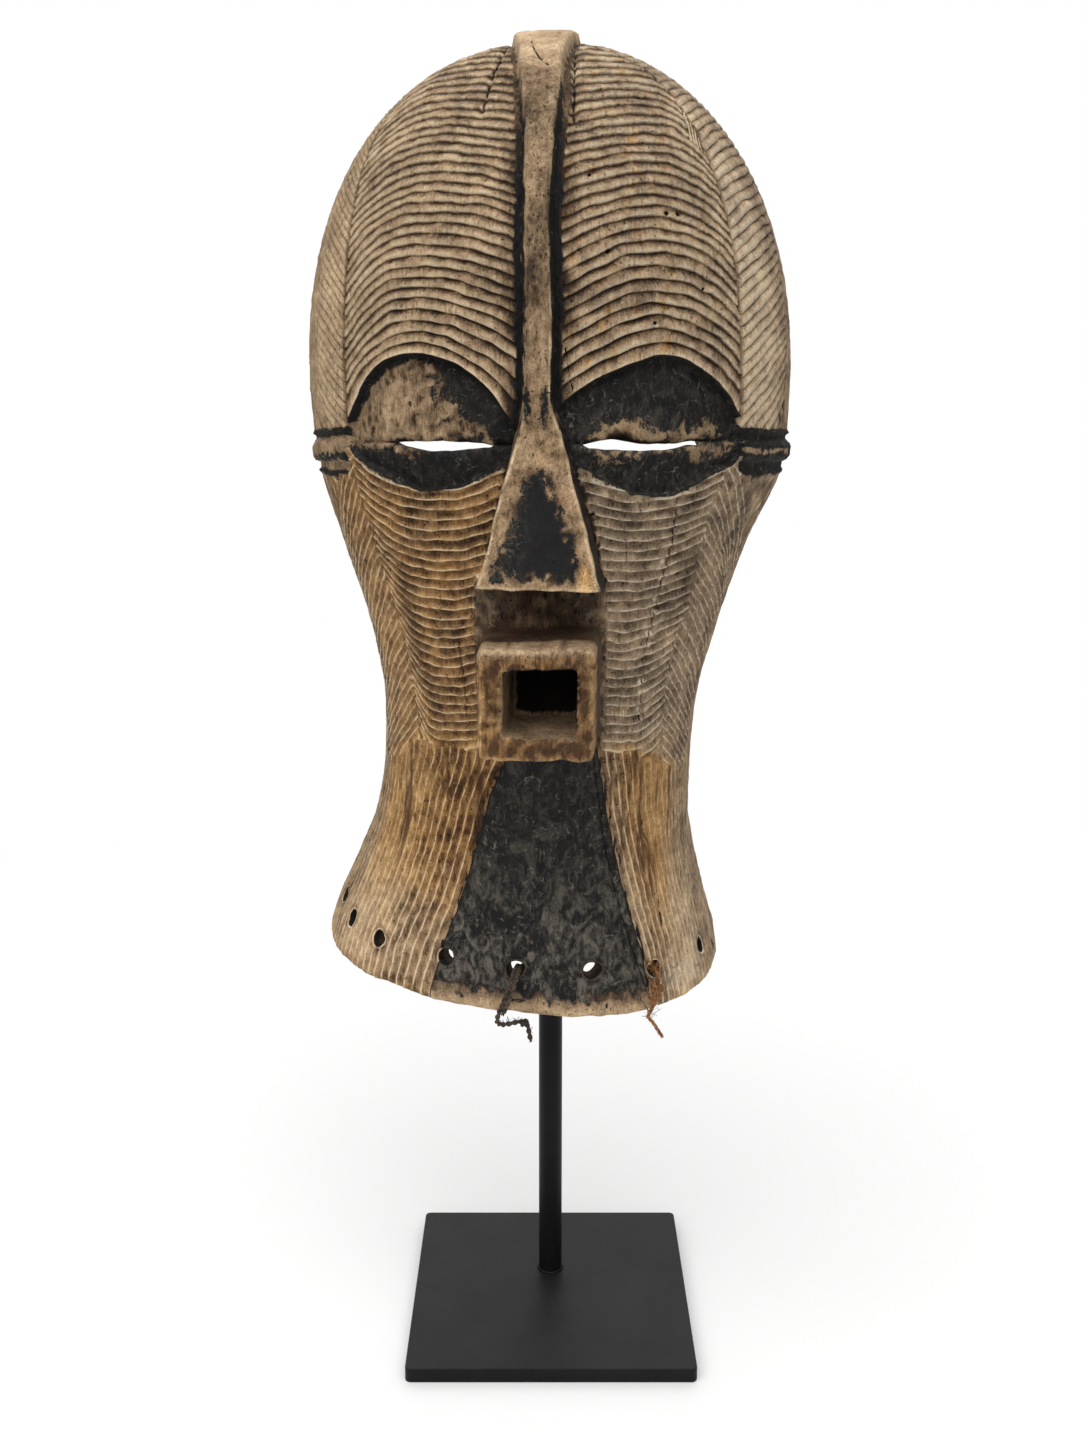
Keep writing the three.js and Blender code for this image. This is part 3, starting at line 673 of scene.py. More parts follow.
# The crest and the nose: one ridge from the crown down to the square tip of the nose
RIDGE_EDGE = np.array([  # the chart's v, and x of the left and the right edge
    (-89, -23.4, 28), (-26, -8.5, 10.8), (-20, -7.2, 8.5), (-11, -5.6, 6.2), (28, -5.6, 6), (68, -6.2, 5.8),
    (91, -6.9, 6.6), (112, -8.6, 7.2), (155, -11.9, 7.6), (185, -15.5, 10.5), (203, -17.9, 12.5),
    (222, -17.5, 12), (262, -15, 10)])
RIDGE_WALL = 1.5  # how far the foot of the ridge stands outside its edge
NOSE_LEVEL = -11.0  # below this v the ridge is the nose
CREST_RISE = 5.0
NOSE_FRONT = ((421, -128), (484, -97), (499, -97))
CHANNEL_WIDTH = {-1: 2.2, 1: 2.5}

# The mouth: a square block with a blind square pocket
MOUTH_MIDDLE = (1.9, 372.0)
MOUTH_HALF = (24.9, 24.4)
MOUTH_WALL = 1.7
MOUTH_FRONT = -135.0
POCKET_MIDDLE = (3.4, 372.4)
POCKET_HALF = (16.2, 15.2)
POCKET_WALL = 2.0
POCKET_FLOOR = -91.0
LIP_GROUND = (-29.5, 30.5, 346.0, 421.0)  # smooth ground round the mouth and under the nose


def rounded(middle, half, corner, step):
    """Rectangle with round corners as a closed line."""
    outline = []
    for turn, (sx, sz) in enumerate(((1, 1), (-1, 1), (-1, -1), (1, -1))):
        for part in range(5):
            angle = np.pi / 2 * (turn + part / 4)
            outline.append((middle[0] + sx * (half[0] - corner) + corner * np.cos(angle),
                            middle[1] + sz * (half[1] - corner) + corner * np.sin(angle)))
    return evenly(outline + outline[:1], step)


def shifted(line, distance):
    """The line moved sideways, to its right as it runs, with sharp corners kept."""
    line = np.asarray(line, float)
    closed = np.allclose(line[0], line[-1])
    along = np.diff(line, axis=0)
    along /= np.linalg.norm(along, axis=1)[:, None]
    before = np.concatenate([along[-1:] if closed else along[:1], along])
    after = np.concatenate([along, along[:1] if closed else along[-1:]])
    side = before + after
    side /= np.linalg.norm(side, axis=1)[:, None]
    stretch = 1 / np.maximum((side * after).sum(1), 0.4)
    return line + distance * stretch[:, None] * np.stack([side[:, 1], -side[:, 0]], -1)


def inside(outline, x, z):
    """Whether points lie inside a closed outline."""
    hit = np.zeros(len(x), bool)
    for (x0, z0), (x1, z1) in zip(outline, np.roll(outline, -1, 0)):
        if z0 != z1:
            hit ^= ((z0 > z) != (z1 > z)) & (x < x0 + (z - z0) * (x1 - x0) / (z1 - z0))
    return hit


def distance_to(line, x, z, reach):
    """Distance of points from a line, as far as reach; beyond it, reach."""
    line = np.asarray(line, float)
    found = np.full(len(x), reach)
    near = np.flatnonzero((x > line[:, 0].min() - reach) & (x < line[:, 0].max() + reach)
                          & (z > line[:, 1].min() - reach) & (z < line[:, 1].max() + reach))
    px, pz = x[near], z[near]
    best = np.full(len(near), reach)
    for (x0, z0), (x1, z1) in zip(line[:-1], line[1:]):
        dx, dz = x1 - x0, z1 - z0
        t = np.clip(((px - x0) * dx + (pz - z0) * dz) / max(dx * dx + dz * dz, 1e-9), 0, 1)
        best = np.minimum(best, np.hypot(px - x0 - t * dx, pz - z0 - t * dz))
    found[near] = best
    return found


def ridge_u(x, v):
    """The chart's u of a point of the ridge, from its x and v."""
    u = np.asarray(x, float).copy()
    for _ in range(4):
        got = place(u, v)[..., 0]
        off_middle = np.abs(got) > 1e-6
        u = np.where(off_middle, u * x / np.where(off_middle, got, 1), u)
    return u


RIDGE_STEP = 2.4
left_edge = RIDGE_EDGE[::-1][:, [1, 0]]
right_edge = RIDGE_EDGE[:, [2, 0]]
ridge_top = np.concatenate([
    smooth_line(left_edge[:-3], RIDGE_STEP), evenly(left_edge[-4:], RIDGE_STEP)[1:],
    evenly([left_edge[-1], right_edge[0]], RIDGE_STEP)[1:],
    evenly(right_edge[:4], RIDGE_STEP)[1:], smooth_line(right_edge[3:], RIDGE_STEP)[1:]])
ridge_foot = shifted(ridge_top, RIDGE_WALL)
ridge_area = np.concatenate([ridge_foot, [(40, 300), (-40, 300)]])
mouth_edge = rounded(MOUTH_MIDDLE, MOUTH_HALF, 3.2, 1.4)
mouth_foot = shifted(mouth_edge, MOUTH_WALL)
pocket_edge = rounded(POCKET_MIDDLE, POCKET_HALF, 1.8, 1.4)
pocket_foot = shifted(pocket_edge, -POCKET_WALL)

# The fields of the carving, each with cuts or ground of its own
BROW, OUTER, STRIP, BAND, EYE, RIDGE, CHANNEL, CHEEK, FLANK, CHIN, CHIN_PANEL, LIP, MOUTH = range(13)
CROWN_SEAM = 185.0
STRIP_START, STRIP_LIFT = 0.81, 0.3  # the plain strip along the open edge, as a share of the way there
ON_LINE = 0.06  # points of a field's own outline count as inside it
RIM_HOLES = (  # place and diameter of the holes for lacing, the last of them a small one
    (-110.2, 237.4, 8), (-102.8, 232.7, 8.5), (-84.5, 229.7, 8.5), (-47.6, 229.4, 8.5), (-12.4, 226.9, 8.5),
    (25.6, 226, 8.5), (56.1, 220.8, 8.5), (80.8, 217, 8), (89, 206.5, 3.5))


def way_out(u, v):
    """Share of the way from the middle of the chart to where the sides and the crown turn straight back."""
    return np.hypot(np.asarray(u) / CHART_SIDE, np.maximum(v, 0) / CHART_CROWN)


def field_of(u, v):
    """Which field of the carving each place of the chart belongs to."""
    x, _, z = place(u, v).T
    side, reach, band = by_side(u, -1, 1), np.abs(x), band_height(x, z)
    way = way_out(u, v)
    upright = np.maximum(v, 0) / CHART_CROWN / np.maximum(way, 1e-9)
    field = np.where(reach < cheek_seam(z, side), CHEEK, FLANK)
    field[z < np.interp(x, *np.transpose(CHIN_TOP))] = CHIN
    arch = arch_height(reach, side)
    over = np.where(reach < EYE_OUTER, z > arch, band > BAND_SHAPE[-1][0])
    brow = (np.abs(u) < brow_seam_u(v, side)) & (v < CROWN_SEAM)
    field[over] = np.where(brow, BROW, OUTER)[over]
    field[way > STRIP_START + STRIP_LIFT * upright ** 2] = STRIP
    field[(reach >= EYE_OUTER) & (band > BAND_SHAPE[0][0]) & (band < BAND_SHAPE[-1][0])] = BAND
    left, right, bottom, top = LIP_GROUND
    field[(x > left) & (x < right) & (z > bottom) & (z < top)] = LIP
    field[(z < PANEL_TOP) & (reach < panel_edge(z, side) + ON_LINE)] = CHIN_PANEL
    channel_width = np.where(v < -30, 1.4, by_side(x, CHANNEL_WIDTH[-1], CHANNEL_WIDTH[1]))
    field[(distance_to(ridge_foot, x, v, 9.0) < channel_width) & (z > 425)] = CHANNEL
    between_lids = (z < arch + ON_LINE) & (z > lid_floor(reach, side) - ON_LINE)
    field[(reach > EYE_INNER) & (reach < EYE_OUTER) & between_lids] = EYE
    field[inside(ridge_area, x, v)] = RIDGE
    field[inside(mouth_foot, x, z)] = MOUTH
    return field


def rim_v(u):
    """The chart's v of the slanting rim."""
    return RIM_Z + RIM_SLOPE * place(u, np.full(np.shape(u), RIM_Z - EYE_LEVEL))[..., 0] - EYE_LEVEL


def rear_u(v):
    """The chart's u of the open edge below the eyes."""
    return CHART_SIDE + REAR - level(EYE_LEVEL + np.minimum(v, 0), SIDE)


def on_sheet(u, v, margin):
    """Whether places of the chart lie inside the shell's edge and off the holes, by a margin."""
    on = (v > rim_v(u) + margin) & (way_out(u, v) < edge_way - margin / CHART_SIDE)
    on &= (v > 0) | (np.abs(u) < rear_u(v) - margin)
    for loop in hole_loops:
        on &= ~inside(loop, u, v)
        if margin:
            on &= distance_to(loop, u, v, margin + 0.1) > margin
    return on


CHART_BOX = ((-216, 216), (-312, 258))  # the u and v that hold the whole chart


class Net:
    """Points and lines on the chart that the mesh has to follow."""

    def __init__(self):
        self.points, self.edges, self.count = [], [], 0

    def add(self, line):
        """Adds a line of places and returns their numbers."""
        numbers = np.arange(self.count, self.count + len(line))
        self.points.append(np.asarray(line, float))
        self.edges.append(np.stack([numbers[:-1], numbers[1:]], -1))
        self.count += len(line)
        return numbers

    def close(self, line):
        """Adds a closed line, whose last place repeats the first."""
        numbers = self.add(line[:-1])
        self.edges.append(np.array([[numbers[-1], numbers[0]]]))
        return numbers

    def add_within(self, lines, wanted, step):
        """Adds the stretches of lines that lie in the wanted fields and off the holes."""
        flat = np.concatenate(lines)
        keep_all = np.isin(field_of(*flat.T), wanted) & on_sheet(*flat.T, 1.0)
        start = 0
        for line in lines:
            keep = keep_all[start:start + len(line)]
            start += len(line)
            ends = np.flatnonzero(np.diff(np.concatenate([[0], keep, [0]]).astype(int)))
            for first, last in ends.reshape(-1, 2):
                if last - first > 3:
                    self.add(evenly(line[first + 1:last - 1], step))

    def fill(self, wanted, step, clear, seed):
        """Adds loose points, about a step apart, in the wanted fields, clear of the lines."""
        draw = np.random.default_rng(seed)
        u, v = np.meshgrid(*(np.arange(*ends, step) for ends in CHART_BOX))
        every_other = (np.arange(len(u)) % 2)[:, None] * step / 2
        u = (u + draw.uniform(-0.3, 0.3, u.shape) * step + every_other).ravel()
        v = (v + draw.uniform(-0.3, 0.3, v.shape) * step).ravel()
        keep = np.isin(field_of(u, v), wanted) & on_sheet(u, v, clear)
        taken = set()
        for shift in (0, 0.5):
            cells = np.floor(np.concatenate(self.points) / clear + shift).astype(int)
            taken |= {(shift, i, j) for i, j in cells}
        for a, b in zip(u[keep], v[keep]):
            cells = {(shift, math.floor(a / clear + shift), math.floor(b / clear + shift))
                     for shift in (0, 0.5)}
            if taken.isdisjoint(cells):
                self.points.append(np.array([[a, b]]))
                self.count += 1


def hole_loop(x, z, diameter):
    """A round hole on the face as a closed line of the chart."""
    u, v = chart(x, z)
    wide = np.linalg.norm(place(u + 0.5, v) - place(u - 0.5, v))
    tall = np.linalg.norm(place(u, v + 0.5) - place(u, v - 0.5))
    angle = np.linspace(0, 2 * np.pi, 19)
    wobble = 1 + 0.06 * np.sin(2 * angle + x) + 0.04 * np.sin(3 * angle + 2 * x)
    return np.stack([u + diameter / 2 * np.cos(angle) * wobble / wide,
                     v + diameter / 2 * np.sin(angle) * wobble / tall], -1)


edge_way = float(way_out(rear_u(0.0), 0.0))
hole_loops = [chart(*evenly(SLIT_HOLE[side] + SLIT_HOLE[side][:1], 1.7).T) for side in (-1, 1)]
hole_loops += [hole_loop(*hole) for hole in RIM_HOLES]

# The open edge of the shell, once round: along the rim, up the right, over the crown and down the left
corner_u = {side: side * float(rear_u(-300.0)) for side in (-1, 1)}
rim_u = np.linspace(corner_u[-1], corner_u[1], 400)
rim_line = np.stack([rim_u, rim_v(rim_u)], -1)
right_v = np.linspace(rim_line[-1, 1], 0, 300)
left_v = np.linspace(0, rim_line[0, 1], 300)
turn = np.linspace(0, np.pi, 500)
over_crown = edge_way * np.stack([CHART_SIDE * np.cos(turn), CHART_CROWN * np.sin(turn)], -1)
shell_edge = evenly(np.concatenate([
    rim_line, np.stack([rear_u(right_v), right_v], -1)[1:], over_crown[1:],
    np.stack([-rear_u(left_v), left_v], -1)[1:]]), 2.4)
shell_edge[-1] = shell_edge[0]

# Cracks, and the incised right edge of the panel, as lines seen from the front
CRACKS = (  # width against the finest, and the line
    (1.0, ((63.6, 463.9), (60.7, 433.6), (56.4, 417.9), (52.6, 398.6), (49.1, 380.4), (46.8, 345.4))),
    (1.0, ((-37.9, 389.9), (-36.4, 371.2), (-35.0, 353.1))),
    (2.1, ((-19.5, 662), (-22.6, 647.6), (-25.1, 632.1), (-26.8, 622.9))),
    (1.5, ((13.0, 654.0), (13.4, 636.7), (13.7, 619.2))),
    (1.2, ((11.9, 522.6), (14.2, 509.5), (16.4, 500.2))),
    (1.0, ((45.9, 338.6), (47.5, 318), (49.6, 292.3), (52.8, 278.7), (59.3, 245.2), (62.2, 228.7))),
    (1.2, ((24.6, 345), (26.6, 320), (32.7, 279.4), (41.4, 246.3), (51.2, 214))),
    (1.2, ((-7.5, 657), (-4.0, 648), (2.5, 640))),
)
crack_lines = [smooth_line(line, 1.6) for _, line in CRACKS]

# The net: a line of points along the middle, the edges and the rib of every groove, and loose points between
ALONG = 2.2  # spacing of the points along a groove
FINE = 0.6  # step at which a line is first drawn
CUT_LEVELS = (0.0, 0.11, 0.5, 0.89)  # the parts of a groove's width that get a line


def parts(first, stop):
    """The numbers of all lines of the grooves from first up to stop."""
    return [count + part for count in range(first, stop) for part in CUT_LEVELS]


def set_out(starts, pitch, seam_u, climb, side):
    """Lines behind a seam, from feet on it, a pitch apart."""
    out = np.arange(0, 95, FINE)
    lines = []
    for foot in np.add.outer(starts, np.array(CUT_LEVELS) * pitch).ravel():
        foot = np.full(len(out), foot)
        lines.append(np.stack([side * (seam_u(foot, side) + out), foot + climb(foot, side) * out], -1))
    return lines


net = Net()
edge_numbers = net.close(shell_edge)
loop_numbers = [net.close(loop) for loop in hole_loops]
across = np.arange(7, 93, FINE)
down = np.arange(-160, -312, -FINE)
for side in (-1, 1):
    sides = np.full(len(across), side)
    arcs = [chart(side * across, brow_height(np.full(len(across), count), across, sides))
            for count in parts(0, BROW_LINES)[1:]]
    sags = []
    for count in parts(-1, CHEEK_LINES - 1):
        lowest = CHEEK_TOP - CHEEK_PITCH * count
        height = np.full(len(across), lowest)
        for _ in range(6):
            height = lowest + cheek_rise(across, height, sides)
        sags.append(chart(side * across, height))
    climbs = set_out(np.arange(OUTER_START, 190, OUTER_PITCH[side]), OUTER_PITCH[side],
                     brow_seam_u, outer_climb, side)
    falls = set_out(np.arange(FLANK_START, -300, -FLANK_PITCH), FLANK_PITCH, cheek_seam_u, flank_climb, side)
    flutes = [np.stack([side * (panel_edge_u(down, side) + count * chin_pitch(down)), down], -1)
              for count in parts(0, CHIN_FLUTES)]
    net.add_within(arcs, [BROW], ALONG)
    net.add_within(climbs, [OUTER], ALONG)
    net.add_within(sags, [CHEEK], ALONG)
    net.add_within(falls, [FLANK], ALONG)
    net.add_within(flutes, [CHIN], ALONG + 0.6)
    seam_z = np.arange(306, 470, FINE)
    seams = [seam_line[side], chart(side * cheek_seam(seam_z, side), seam_z)]
    net.add_within(seams, [BROW, OUTER, CHEEK, FLANK], ALONG)

STRIP_PITCH = 4.4
strip_lines = []
rise = np.arange(-310, 0, 0.8)
bow = np.linspace(0, np.pi, 700)
for count in range(26):
    for part in (0.0, 0.2, 0.8):
        way = STRIP_START + (count + part) * STRIP_PITCH / CHART_SIDE
        if way < edge_way - 0.006:
            upright = np.full(len(rise), way * CHART_SIDE)
            strip_lines.append(np.concatenate([
                np.stack([upright, rise], -1),
                way * np.stack([CHART_SIDE * np.cos(bow), CHART_CROWN * np.sin(bow)], -1),
                np.stack([-upright, rise[::-1]], -1)]))
net.add_within(strip_lines, [STRIP], 4.2)

for side in (-1, 1):
    line_x = np.sort(side * np.arange(EYE_INNER, EYE_OUTER + 0.01, 0.5))
    sides = np.full(len(line_x), side)
    arch = np.stack([line_x, arch_height(np.abs(line_x), sides)], -1)
    floor = np.stack([line_x, lid_floor(np.abs(line_x), sides)], -1)
    slit = np.stack([line_x, np.interp(line_x, *np.transpose(SLIT_LINE))], -1)
    around_eye = [arch, floor]
    around_eye += [shifted(arch, gap) for gap in (0.4, 0.8, 1.2)]
    around_eye += [shifted(floor, -gap) for gap in (0.5, 1.0)]
    around_eye += [slit + (0, gap) for gap in (-0.8, 0, 0.8)]
    net.add_within([chart(*line.T) for line in around_eye], [EYE, CHEEK, BROW], 1.6)
    bands = []
    for height, _ in BAND_SHAPE:
        u = side * np.arange(96, 216, 0.8)
        x = place(u, np.full(len(u), height - EYE_LEVEL))[:, 0]
        bands.append(np.stack([u, height - BAND_FALL * (np.abs(x) - BAND_START) - EYE_LEVEL], -1))
    net.add_within(bands, [BAND], 3.0)
    panel_z = np.arange(202, 347, FINE)
    panel_x = side * panel_edge(panel_z, side)
    net.add_within([chart(panel_x + gap, panel_z) for gap in (-0.9, 0, 0.9)], [CHIN_PANEL, CHIN], 2.0)


def add_ridge_line(ring):
    """Adds a line along the ridge, as far as the open edge of the shell."""
    places = np.stack([ridge_u(*ring.T), ring[:, 1]], -1)
    net.add(places[way_out(*places.T) < edge_way - 1.4 / CHART_SIDE])


for share in (0, 0.12, 0.25, 0.38, 0.5, 0.63, 0.76, 0.88, 1, 1.5, 2.1):
    ring = ridge_foot + (ridge_top - ridge_foot) * share
    if share not in (0, 0.5, 1, 1.5, 2.1):  # only the high walls of the nose need all of the lines
        ring = ring[ring[:, 1] < NOSE_LEVEL - 3]
    add_ridge_line(ring)
for share in (0.45, 0.95, 1.4):
    for side in (-1, 1):
        ring = shifted(ridge_foot, share * CHANNEL_WIDTH[side])
        add_ridge_line(ring[(ring[:, 0] * side > 0) & (ring[:, 1] > -30)])
for share in (*np.linspace(0, 1, 13), 1.5, 2.2):
    net.close(chart(*(mouth_foot + (mouth_edge - mouth_foot) * share).T))
for share in (-0.7, *np.linspace(0, 1, 10)):
    net.close(chart(*(pocket_edge + (pocket_foot - pocket_edge) * share).T))
net.add_within([chart(*(line + (gap, 0)).T) for line in crack_lines for gap in (-FINE, 0, FINE)],
               [BROW, CHEEK, CHIN, CHIN_PANEL, RIDGE], 1.6)
u = np.linspace(corner_u[-1] + 2, corner_u[1] - 2, 190)
for inset in (0.8, 2.2, 4.2):
    net.add(np.stack([u, rim_v(u) + inset], -1))
for x, z, diameter in RIM_HOLES[:-1]:
    for wider in (1.5, 3.2):
        net.add(hole_loop(x, z, diameter + wider))
net.fill([EYE, LIP, CHIN_PANEL, MOUTH, BAND, CHANNEL, RIDGE], 2.3, 1.2, 5)
net.fill([CHIN, STRIP, FLANK, OUTER, CHEEK, BROW], 3.2, 2.0, 6)

# Insect holes in the face, and flakes lost beside the long crack of the right cheek: place and radius
INSECT_HOLES = (
    (55.7, 579.0, 1.3), (61.0, 579.3, 1.1), (30.0, 562.4, 0.9), (42.8, 631.5, 1.0), (72.5, 548, 0.8),
    (21.5, 594.5, 0.9), (-8.0, 611, 0.7), (64, 420, 0.9), (24, 449, 0.8), (51, 531, 0.8))
FLAKES = (
    (56.7, 427, 1.2), (55.4, 418.6, 1.0), (53.4, 407.8, 1.5), (53, 402.3, 1.1), (50.7, 392.5, 1.6),
    (51.2, 386.5, 1.0), (47.5, 369, 1.4), (47.1, 363.5, 1.1), (46.5, 356, 1.3))
angle = np.linspace(0, 2 * np.pi, 9)
for x, z, radius in INSECT_HOLES + FLAKES:
    for ring in (radius, 0.55 * radius):
        net.close(chart(x + ring * np.cos(angle), z + ring * np.sin(angle)))


def triangles(points, edges, loops):
    """A flat net within its first loop and off the others: corners, faces, and the corner of each point."""
    found, _, faces, sources, _, _ = delaunay_2d_cdt(
        [tuple(p) for p in points], [tuple(e) for e in edges], [], 0, 1e-4, True)
    found, faces = np.array(found), np.array([face for face in faces if len(face) == 3])
    corner_of = np.zeros(len(points), int)
    for corner, source in enumerate(sources):
        corner_of[source] = corner
    middle = found[faces].mean(1)
    keep = inside(loops[0], *middle.T)
    for loop in loops[1:]:
        keep &= ~inside(loop, *middle.T)
    return found, faces[keep], corner_of


outer, outer_faces, corner_of = triangles(
    np.concatenate(net.points), np.concatenate(net.edges).tolist(), [shell_edge] + hole_loops)
outer_loops = [corner_of[numbers] for numbers in [edge_numbers] + loop_numbers]

# The relief, in millimetres outwards, and the marks that colour each place of the sheet, mostly 0 to 1: hue
# from grey over tan to ochre, light, black paint, brown stain with painted shade, dark in the cuts with
# painted shade beside them, pale on the edges with painted highlights, and near black in cracks and painted
# shadows
u, v = outer.T
plain = place(u, v)
x, z = plain[:, 0], plain[:, 2]
side = by_side(u, -1, 1)
on_left = side < 0
reach = np.abs(x)
field = field_of(u, v)


def fade(value, low, high):
    """0 at low, 1 at high, smooth between; low may be the larger."""
    t = np.clip((value - low) / (high - low), 0, 1)
    return t * t * (3 - 2 * t)


def patch(outline, soft):
    """1 within an outline seen from the front, 0 outside, with a soft border.
    """
    ring = np.array(outline + outline[:1], float)
    near = distance_to(ring, x, z, soft)
    return np.where(inside(ring, x, z), 0.5 + near / (2 * soft), 0.5 - near / (2 * soft))


outer_foot = solve(lambda w: w + outer_climb(w, side) * (np.abs(u) - brow_seam_u(w, side)), v, -60, 220)
flank_foot = solve(lambda w: w + flank_climb(w, side) * (np.abs(u) - cheek_seam_u(w, side)), v, -330, 60)
counts = {  # number of the groove at each place; its fraction says how far across the groove
    BROW: solve(lambda c: brow_height(c, reach, side), z, -1, 40),
    OUTER: (outer_foot - OUTER_START) / by_side(side, OUTER_PITCH[-1], OUTER_PITCH[1]),
    STRIP: (way_out(u, v) - STRIP_START) * CHART_SIDE / STRIP_PITCH,
    CHEEK: (z - CHEEK_TOP - cheek_rise(reach, z, side)) / CHEEK_PITCH,
    FLANK: (flank_foot - FLANK_START) / FLANK_PITCH,
    CHIN: (np.abs(u) - panel_edge_u(v, side)) / chin_pitch(v),
}
# Darkness is dark in each cut, and on the brow and behind the temple also painted shade down the rib below
# each line. Paleness is wear on the ribs' edges, and there also a painted highlight on each rib's edge.
CUTS = {  # relief, darkness and paleness of a groove at each of CUT_LEVELS
    BROW: ((-1.5, 0.15, 0.2, -0.5), (1.4, 0, 0.38, 1.05), (0, 0.9, 0.35, 0)),
    OUTER: ((-1.1, -0.05, 0.2, -0.4), (0.85, 0.1, 0.1, 0.6), (0, 0.6, 0.3, 0)),
    STRIP: ((-0.5, -0.1, 0.05, -0.1), (0.55, 0.15, 0, 0.15), (0, 0.15, 0.2, 0.1)),
    CHEEK: ((0.25, -0.5, -1.05, -0.6), (0, 0.15, 0.5, 0.5), (1.5, 0.1, 0, 0)),
    FLANK: ((0.15, -0.35, -0.65, -0.4), (0, 0.1, 0.4, 0.35), (1.3, 0.1, 0, 0)),
    CHIN: ((0.1, -0.4, -0.9, -0.5), (0, 0.35, 0.6, 0.5), (1.0, 0.1, 0, 0.1)),
}


def across_cut(row, shape):
    """A value that runs through shape from the middle of each groove of a field to the next one's."""
    return np.interp(counts[row] % 1, (*CUT_LEVELS, 1), (*shape, shape[0]))


push, hue, light, paint, stain, dark, pale, crack = np.zeros((8, len(u)))
hand = 1 + 0.26 * ripple(u, v, 16, 8) + 0.16 * ripple(u, v, 5, 9)  # the carver's unequal pressure
for row, shapes in CUTS.items():
    here = field == row
    for target, shape in zip((push, dark, pale), shapes):
        target[here] = (across_cut(row, shape) * np.clip(hand, 0.4, 1.5))[here]
chin = field == CHIN
flute_wear = 1.25 - 0.75 * fade(counts[CHIN], by_side(side, 3, 2.5), by_side(side, 11, 6))
for target in (push, dark, pale):
    target[chin] *= flute_wear[chin]
brow = field == BROW
dark[brow] *= (1 + 0.55 * fade(v, 40, 130))[brow]
thin_lines = np.isin(field, (CHEEK, FLANK, CHIN))
dark[thin_lines & on_left] *= 1.35
pale[thin_lines] *= np.clip(0.8 + 0.6 * ripple(u, v, 8, 77), 0.1, 1.4)[thin_lines]

# On the left the lines behind the temple are thin and dark, and fade out towards the rim and the crown
left_outer = (field == OUTER) & on_left
kept = (1 - 0.9 * fade(np.abs(u) - brow_seam_u(v, side), 18, 36)) * (1 - 0.4 * fade(v, 30, 80))
thin_dark = across_cut(OUTER, (1.1, 0.1, 0, 0.15))
dark[left_outer] = (thin_dark * kept * np.clip(hand, 0.5, 1.4))[left_outer]
push[left_outer] *= (0.7 * kept)[left_outer]
pale[left_outer] *= (0.6 * kept)[left_outer]

# The seam is a cut of its own, and no rib shows on the arch of the eye
seam_gap = np.min([distance_to(seam_line[s], u, v, 5.0) for s in (-1, 1)], axis=0)
dark[brow] *= (1 + 0.5 * fade(seam_gap, 5, 1))[brow]
on_seam = np.isin(field, (BROW, OUTER)) & (seam_gap < 0.8)
dark[on_seam], pale[on_seam], push[on_seam] = 0.9, 0, -0.6
first_rib = brow & (counts[BROW] < 0.25)
push[first_rib], dark[first_rib] = 0, 0.1

TONES = {  # hue and light on the left, and on the right
    BROW: ((0.56, 0.64), (0.46, 0.63)), OUTER: ((0.55, 0.71), (0.38, 0.92)),
    STRIP: ((0.5, 0.6), (0.38, 0.6)), BAND: ((0.5, 0.5), (0.4, 0.5)),
    EYE: ((0.5, 0.52), (0.45, 0.56)), RIDGE: ((0.45, 0.56), (0.45, 0.56)),
    CHANNEL: ((0.45, 0.25), (0.4, 0.25)), CHEEK: ((0.84, 0.66), (0.26, 0.67)),
    FLANK: ((0.84, 0.68), (0.3, 0.66)), CHIN: ((1.0, 0.8), (0.68, 0.77)),
    CHIN_PANEL: ((0.3, 0.4), (0.3, 0.4)), LIP: ((0.34, 0.42), (0.3, 0.42)),
    MOUTH: ((0.84, 0.52), (0.84, 0.49)),
}
below = np.interp(x, *np.transpose(CHIN_TOP)) - z
for column, target in enumerate((hue, light)):
    tones = {row: by_side(side, left[column], right[column]) for row, (left, right) in TONES.items()}
    for row, value in tones.items():
        target[field == row] = value[field == row]
    for row in (CHEEK, FLANK):  # the cheeks run into the chin without a step in tone
        here = (field == row) & (below > -9)
        target[here] += ((tones[CHIN] - tones[row]) * fade(below, -9, 1))[here]

# The chin pales and greys towards the rim, with brown streaks at its top. The flank lightens under the eye
# and the brow darkens on the crown. Towards the open edge every field takes the plain tone of the strip
hue[chin] -= (0.4 * fade(z, 300, 225))[chin]
light[chin] += (0.06 * fade(z, 320, 230) - 0.05 * fade(z, 290, 330))[chin]
stain[chin] += (0.8 * np.clip(ripple(u * 1.6, v * 0.1, 12, 53), 0, 1.2) * fade(z, 235, 300))[chin]
light += 0.08 * fade(z, 450, 410) * ((field == FLANK) & on_left)
light -= by_side(side, 0.12, 0.04) * fade(v, 100, 150) * brow
beside_strip = np.isin(field, (OUTER, FLANK, CHIN))
for column, target in enumerate((hue, light)):
    strip_tone = by_side(side, *(pair[column] for pair in TONES[STRIP]))
    to_strip = (strip_tone - target) * fade(way_out(u, v), STRIP_START - 0.16, STRIP_START)
    target[beside_strip] += to_strip[beside_strip]
rusty = brow & ~on_left & (reach < 60)
rust = ripple(u, v, 9, 81)
hue[rusty] += (0.55 * np.clip(rust - 0.5, 0, 1))[rusty]
stain[rusty] += (0.3 * np.clip(rust - 0.6, 0, 1))[rusty]
